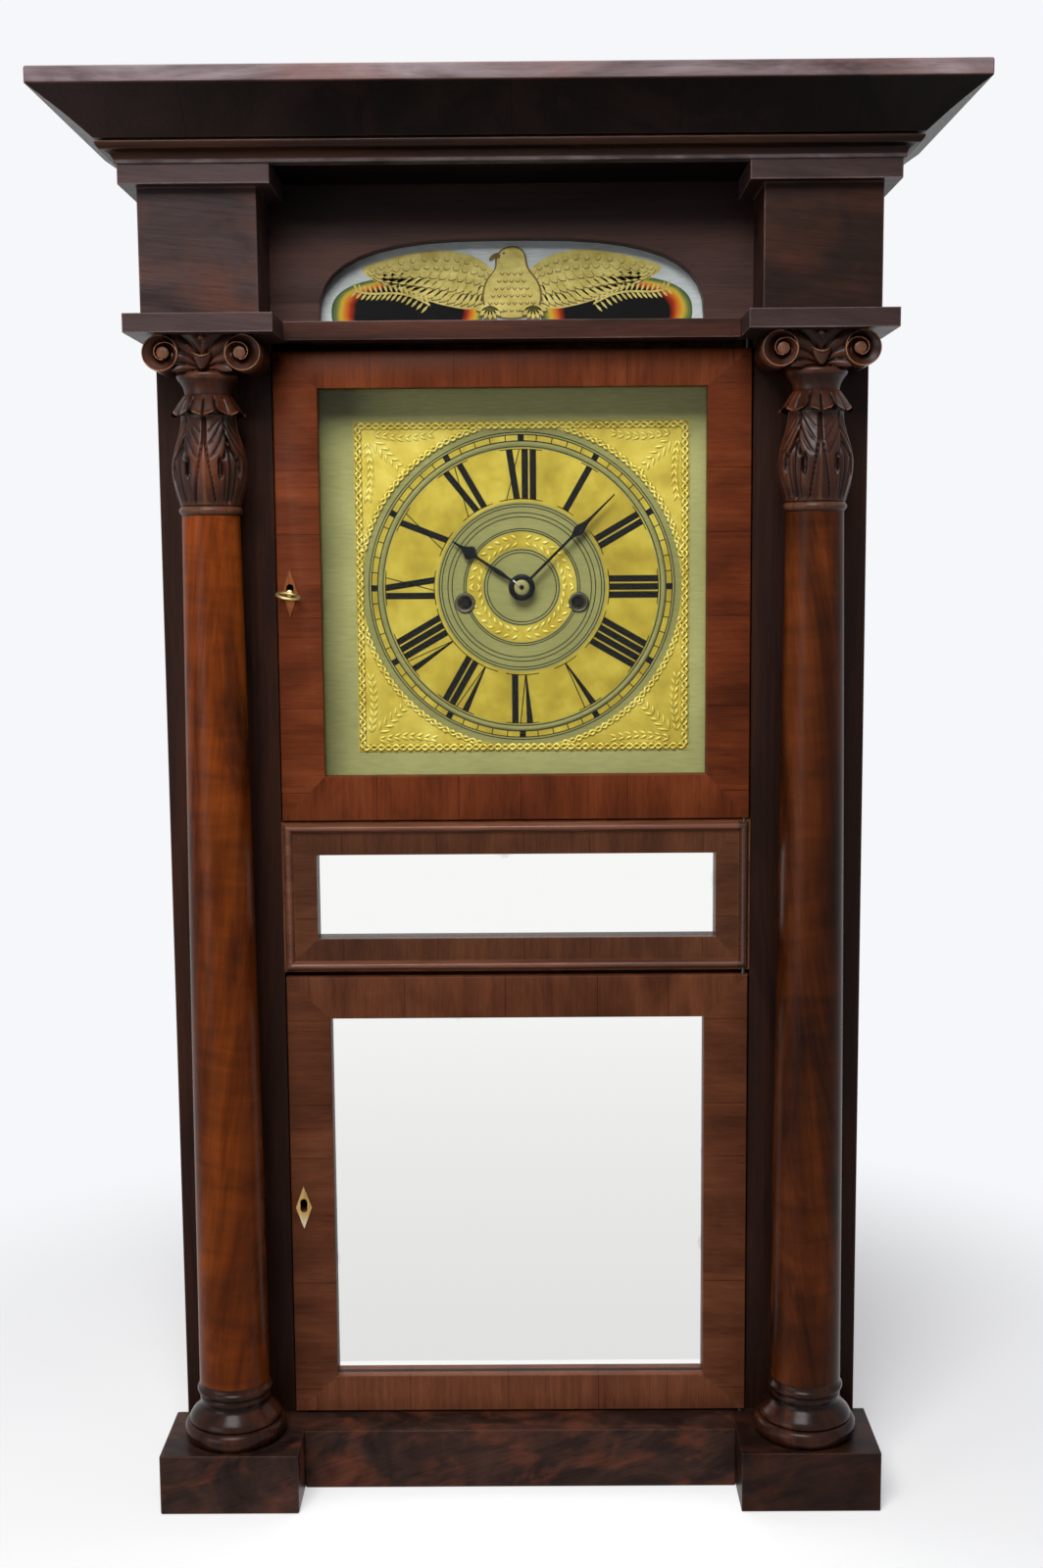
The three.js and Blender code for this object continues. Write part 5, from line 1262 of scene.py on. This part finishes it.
def raised_leaf(blank, x, z, aim, length, width, crown, lift):
    ahead, side = aimed(aim)
    steps = 6
    for i in range(steps + 1):
        share = i / steps
        half = width / 2 * math.sin(math.pi * min(1.0, share * 0.97 + 0.015) ** 0.85)
        bulge = crown * math.sin(math.pi * (0.1 + 0.85 * share))
        for across, rise in leaf_section:
            there = Vector((x, z)) + ahead * length * share + side * half * across
            blank.add(on_dial(there, lift + bulge * rise), 0.0 if rise else 1.0)
    blank.join(steps + 1, len(leaf_section))


leaves = Blank()


def corner_leaf(across, rise, x, z, aim, length):
    corner_x = dial_x + across * (114 if across > 0 else 112)
    corner_z = square[3] - 7 if rise > 0 else square[2] + 7
    ahead = aimed(aim)[0]
    flip = math.degrees(math.atan2(-rise * ahead.y, -across * ahead.x))
    raised_leaf(leaves, corner_x - across * x, corner_z - rise * z, flip, length, 2.7, 1.2, 0.5)


for across, rise in ((-1, -1), (-1, 1), (1, -1), (1, 1)):
    for k in range(8):
        run, bow = 7 + k * 5.4, 2.0 + 2.2 * math.sin(math.pi * k / 7)
        for lean in (26, -26):
            corner_leaf(across, rise, bow, run, 90 + lean, 6.4)
            corner_leaf(across, rise, run, bow, lean, 6.4)
    for k in range(6):
        run = (8 + k * 4.2) * 0.92
        for lean in (45 + 38, 45 - 38):
            corner_leaf(across, rise, run, run, lean, 9.0 - 0.8 * k)
for k in range(36):
    angle = (k + 0.5) * 360 / 36
    clockwise = (angle < 180) == (abs(angle - 180) > 90)
    for radius, lean in ((34.8, 34), (32.2, -34)):
        aim = lean - angle if clockwise else 180 - angle - lean
        if not under_bush(radius, angle):
            raised_leaf(leaves, *polar(radius, angle), aim, 5.6, 2.5, 1.1, 0.1)
make_piece("gesso_leaves", leaves, gesso_gold, smooth=60)

chapter_ring, minute_ring, leaf_ring = (61.0, 99.2), (104.6, 108.2), (28.0, 39.4)
gilt = Blank()
whole_ring(gilt, *chapter_ring, 0.06)
whole_ring(gilt, *minute_ring, 0.06)
slices = 8
step = (leaf_ring[1] - leaf_ring[0]) / slices
for k in range(slices):
    ring_parts(gilt, leaf_ring[0] + step * k, leaf_ring[0] + step * (k + 1), 0.06)
make_piece("gilt_rings", gilt, gold_leaf)
blank = Blank()
turned_ring(blank, [(100.7, -0.05), (100.7, 0.1), (101.4, 0.5), (102.2, 0.62), (103.0, 0.5), (103.6, 0.1),
                    (103.6, -0.05)])
make_piece("dial_bead", blank, dial_ground, smooth=60)
lines = Blank()
line_half = 0.34
for radius in (24.9, 26.9, 40.4, 41.9, 50.3, 53.3, 57.6, 59.5, 100.1, 104.1, 108.5, 110.3):
    ring_parts(lines, radius - line_half, radius + line_half, 0.1)
for minute in range(60):
    if minute % 5:
        band(lines, 104.2, 108.5, minute * 6 - 0.2, minute * 6 + 0.2, 0.12, 1)
make_piece("dial_lines", lines, line_paint)

numeral_foot, numeral_head = 63.2, 98.4
bar, hair, letter_gap = 4.7, 0.75, 1.1
widths = {"I": bar, "V": 9.6, "X": 10.2}
numerals = ("XII", "I", "II", "III", "IIII", "V", "VI", "VII", "VIII", "IX", "X", "XI")
black = Blank()


def on_numeral(turn, across, radius):
    along = math.sqrt(radius ** 2 - across ** 2)
    ahead = math.radians(turn)
    return (dial_x + along * math.sin(ahead) + across * math.cos(ahead),
            dial_z + along * math.cos(ahead) - across * math.sin(ahead))


def stroke(turn, low, high, low_wide, high_wide):
    corners = ((low - low_wide / 2, numeral_foot), (high - high_wide / 2, numeral_head),
               (high + high_wide / 2, numeral_head), (low + low_wide / 2, numeral_foot))
    black.coat([on_numeral(turn, *corner) for corner in corners], dial_plane, 0.14)


for hour, text in enumerate(numerals):
    turn = hour * 30
    half = math.degrees(2.3 / minute_ring[1])
    band(black, 103.9, 108.8, turn - half, turn + half, 0.14, 2)
    total = sum(widths[letter] for letter in text) + letter_gap * (len(text) - 1)
    run = -total / 2
    for letter in text:
        wide = widths[letter]
        middle = run + wide / 2
        left, right = run + bar / 2, run + wide - hair / 2
        if letter == "I":
            stroke(turn, middle, middle, bar, bar)
        elif letter == "V":
            stroke(turn, middle + 0.3, left, 0.9, bar)
            stroke(turn, middle + 0.6, right, hair, hair)
        else:
            stroke(turn, run + wide - bar / 2, left, bar, bar)
            stroke(turn, run + hair / 2, right, hair, hair)
        run += wide + letter_gap
    for radius in (numeral_foot, numeral_head):
        half = math.degrees((total / 2 + 4.5) / radius)
        band(black, radius - 0.32, radius + 0.32, turn - half, turn + half, 0.13, 6)
make_piece("dial_numerals", black, black_paint)

# Winding bushes, hands and collet: turned steel rings round the two winding holes, blued steel hands, and
# a brass collet pinned on the tip of the centre arbor over them.
hand_face = span("minute_hand", "y")[0]
bush_rings = [(7.35, 0.2), (7.35, -0.9), (6.9, -1.5), (6.2, -1.75), (5.4, -1.5), (4.9, -0.9), (4.85, 3)]
blank = Blank()
for hole in winding_holes:
    facing(blank, *hole, [(radius, dial_plane + out) for radius, out in bush_rings], 36, ends=False)
dull_steel = metal("dull_steel",
                   ((0.04, 0.036, 0.03), (0.095, 0.087, 0.072), (0.19, 0.175, 0.145)), (0.4, 0.55))
make_piece("winding_bushes", blank, dull_steel, smooth=50)
hand_steel = metal("blued_steel", ((0.004, 0.004, 0.0045), (0.008, 0.008, 0.0095), (0.02, 0.02, 0.024)),
                   (0.4, 0.55))
old_brass = metal("old_brass", ((0.17, 0.145, 0.048), (0.27, 0.24, 0.085), (0.36, 0.32, 0.125)), (0.5, 0.65),
                  160, 0.5)
pin_wire = metal("pin_wire", ((0.5, 0.48, 0.42), (0.68, 0.65, 0.58), (0.8, 0.78, 0.7)), (0.3, 0.45), 200, 0.5)
dress(hand_steel, 0, "minute_hand", "hour_hand")
for name, finish, slot, sides, rings in (
        ("hand_boss", hand_steel, "blackened_steel", 48,
         [(9.5, 0), (9.5, -0.3), (8.8, -0.8), (7.4, -1.0), (6.2, -0.8), (5.5, -0.2), (5.5, 0)]),
        ("hand_collet", old_brass, "brass", 36,
         [(5.5, 0), (5.5, -0.5), (5.1, -0.8), (2.6, -0.9), (1.7, -0.9)]),
        ("arbor_tip", hand_steel, "steel", 20, [(1.7, -0.8), (1.7, -1.3), (1.3, -1.6)])):
    blank = Blank()
    facing(blank, dial_x, dial_z, [(radius, hand_face + out) for radius, out in rings], sides)
    make_piece(name, blank, finish, "minute_hand", smooth=50)
blank = Blank()
turned(blank, (dial_x, hand_face - 1.4, dial_z), Vector((-0.77, 0, 0.64)), Vector((0.64, 0, 0.77)), y_way,
       ((0.25, 8.2), (0.5, 7.8), (0.55, 2.2), (0.3, 1.9)), 12)
make_piece("hand_pin", blank, pin_wire, "minute_hand", smooth=50)

# Movement: brass plates and wheels with steel arbors, behind the dial, with a bell and hammer above.
# The pendulum hangs from a cock on the back plate.


def drum_finish(name, x, z):
    finish, tree = start(name)
    fibres = streaked(tree, grain("y")(tree), 9, 260)
    wooden = reckon(tree, "GREATER_THAN", from_axis(tree, x, z), 5.0 * mm)
    timber = shade(tree, fibres, (0.3, (0.1, 0.05, 0.024)), (0.7, (0.26, 0.145, 0.07)))
    # The filed steel of the arbor end is near black: partly dark steel and partly painted shade inside the
    # winding holes.
    filed = shade(tree, fibres, (0.3, (0.006, 0.0055, 0.005)), (0.7, (0.022, 0.02, 0.018)))
    return coated(finish, mix(tree, wooden, filed, timber), spread(tree, wooden, 0, 1, 0.4, 0.75),
                  Metallic=spread(tree, wooden, 0, 1, 1.0, 0.0))


for name, hole in zip(("time_drum", "strike_drum"), winding_holes):
    dress(drum_finish(name + "_finish", *hole), 0, name)
plate_brass = metal("plate_brass",
                    ((0.3, 0.2, 0.07), (0.55, 0.39, 0.15), (0.68, 0.52, 0.24)), (0.28, 0.45), 40)
bell_metal = metal("bell_metal", ((0.22, 0.18, 0.12), (0.4, 0.33, 0.2), (0.55, 0.47, 0.3)), (0.25, 0.4), 50)
steel = metal("bright_steel", ((0.2, 0.19, 0.18), (0.42, 0.41, 0.39), (0.55, 0.54, 0.52)), (0.25, 0.45))
dress(plate_brass, 0, "movement_front_plate", "movement_back_plate", "time_great_wheel", "strike_great_wheel",
      "centre_wheel", "third_wheel", "escape_wheel", "minute_wheel", "strike_pin_wheel", "pendulum")
dress(steel, 0, "verge", "hammer")
dress(bell_metal, 0, "bell")

# Weights: cast iron cylinders with a wire eye at the top, rough from the sand, standing on the case floor
# at each side.
cast_iron = metal("cast_iron",
                  ((0.025, 0.022, 0.02), (0.05, 0.045, 0.04), (0.09, 0.07, 0.055)), (0.55, 0.75), 160)
dress(cast_iron, 0, "time_weight", "strike_weight")
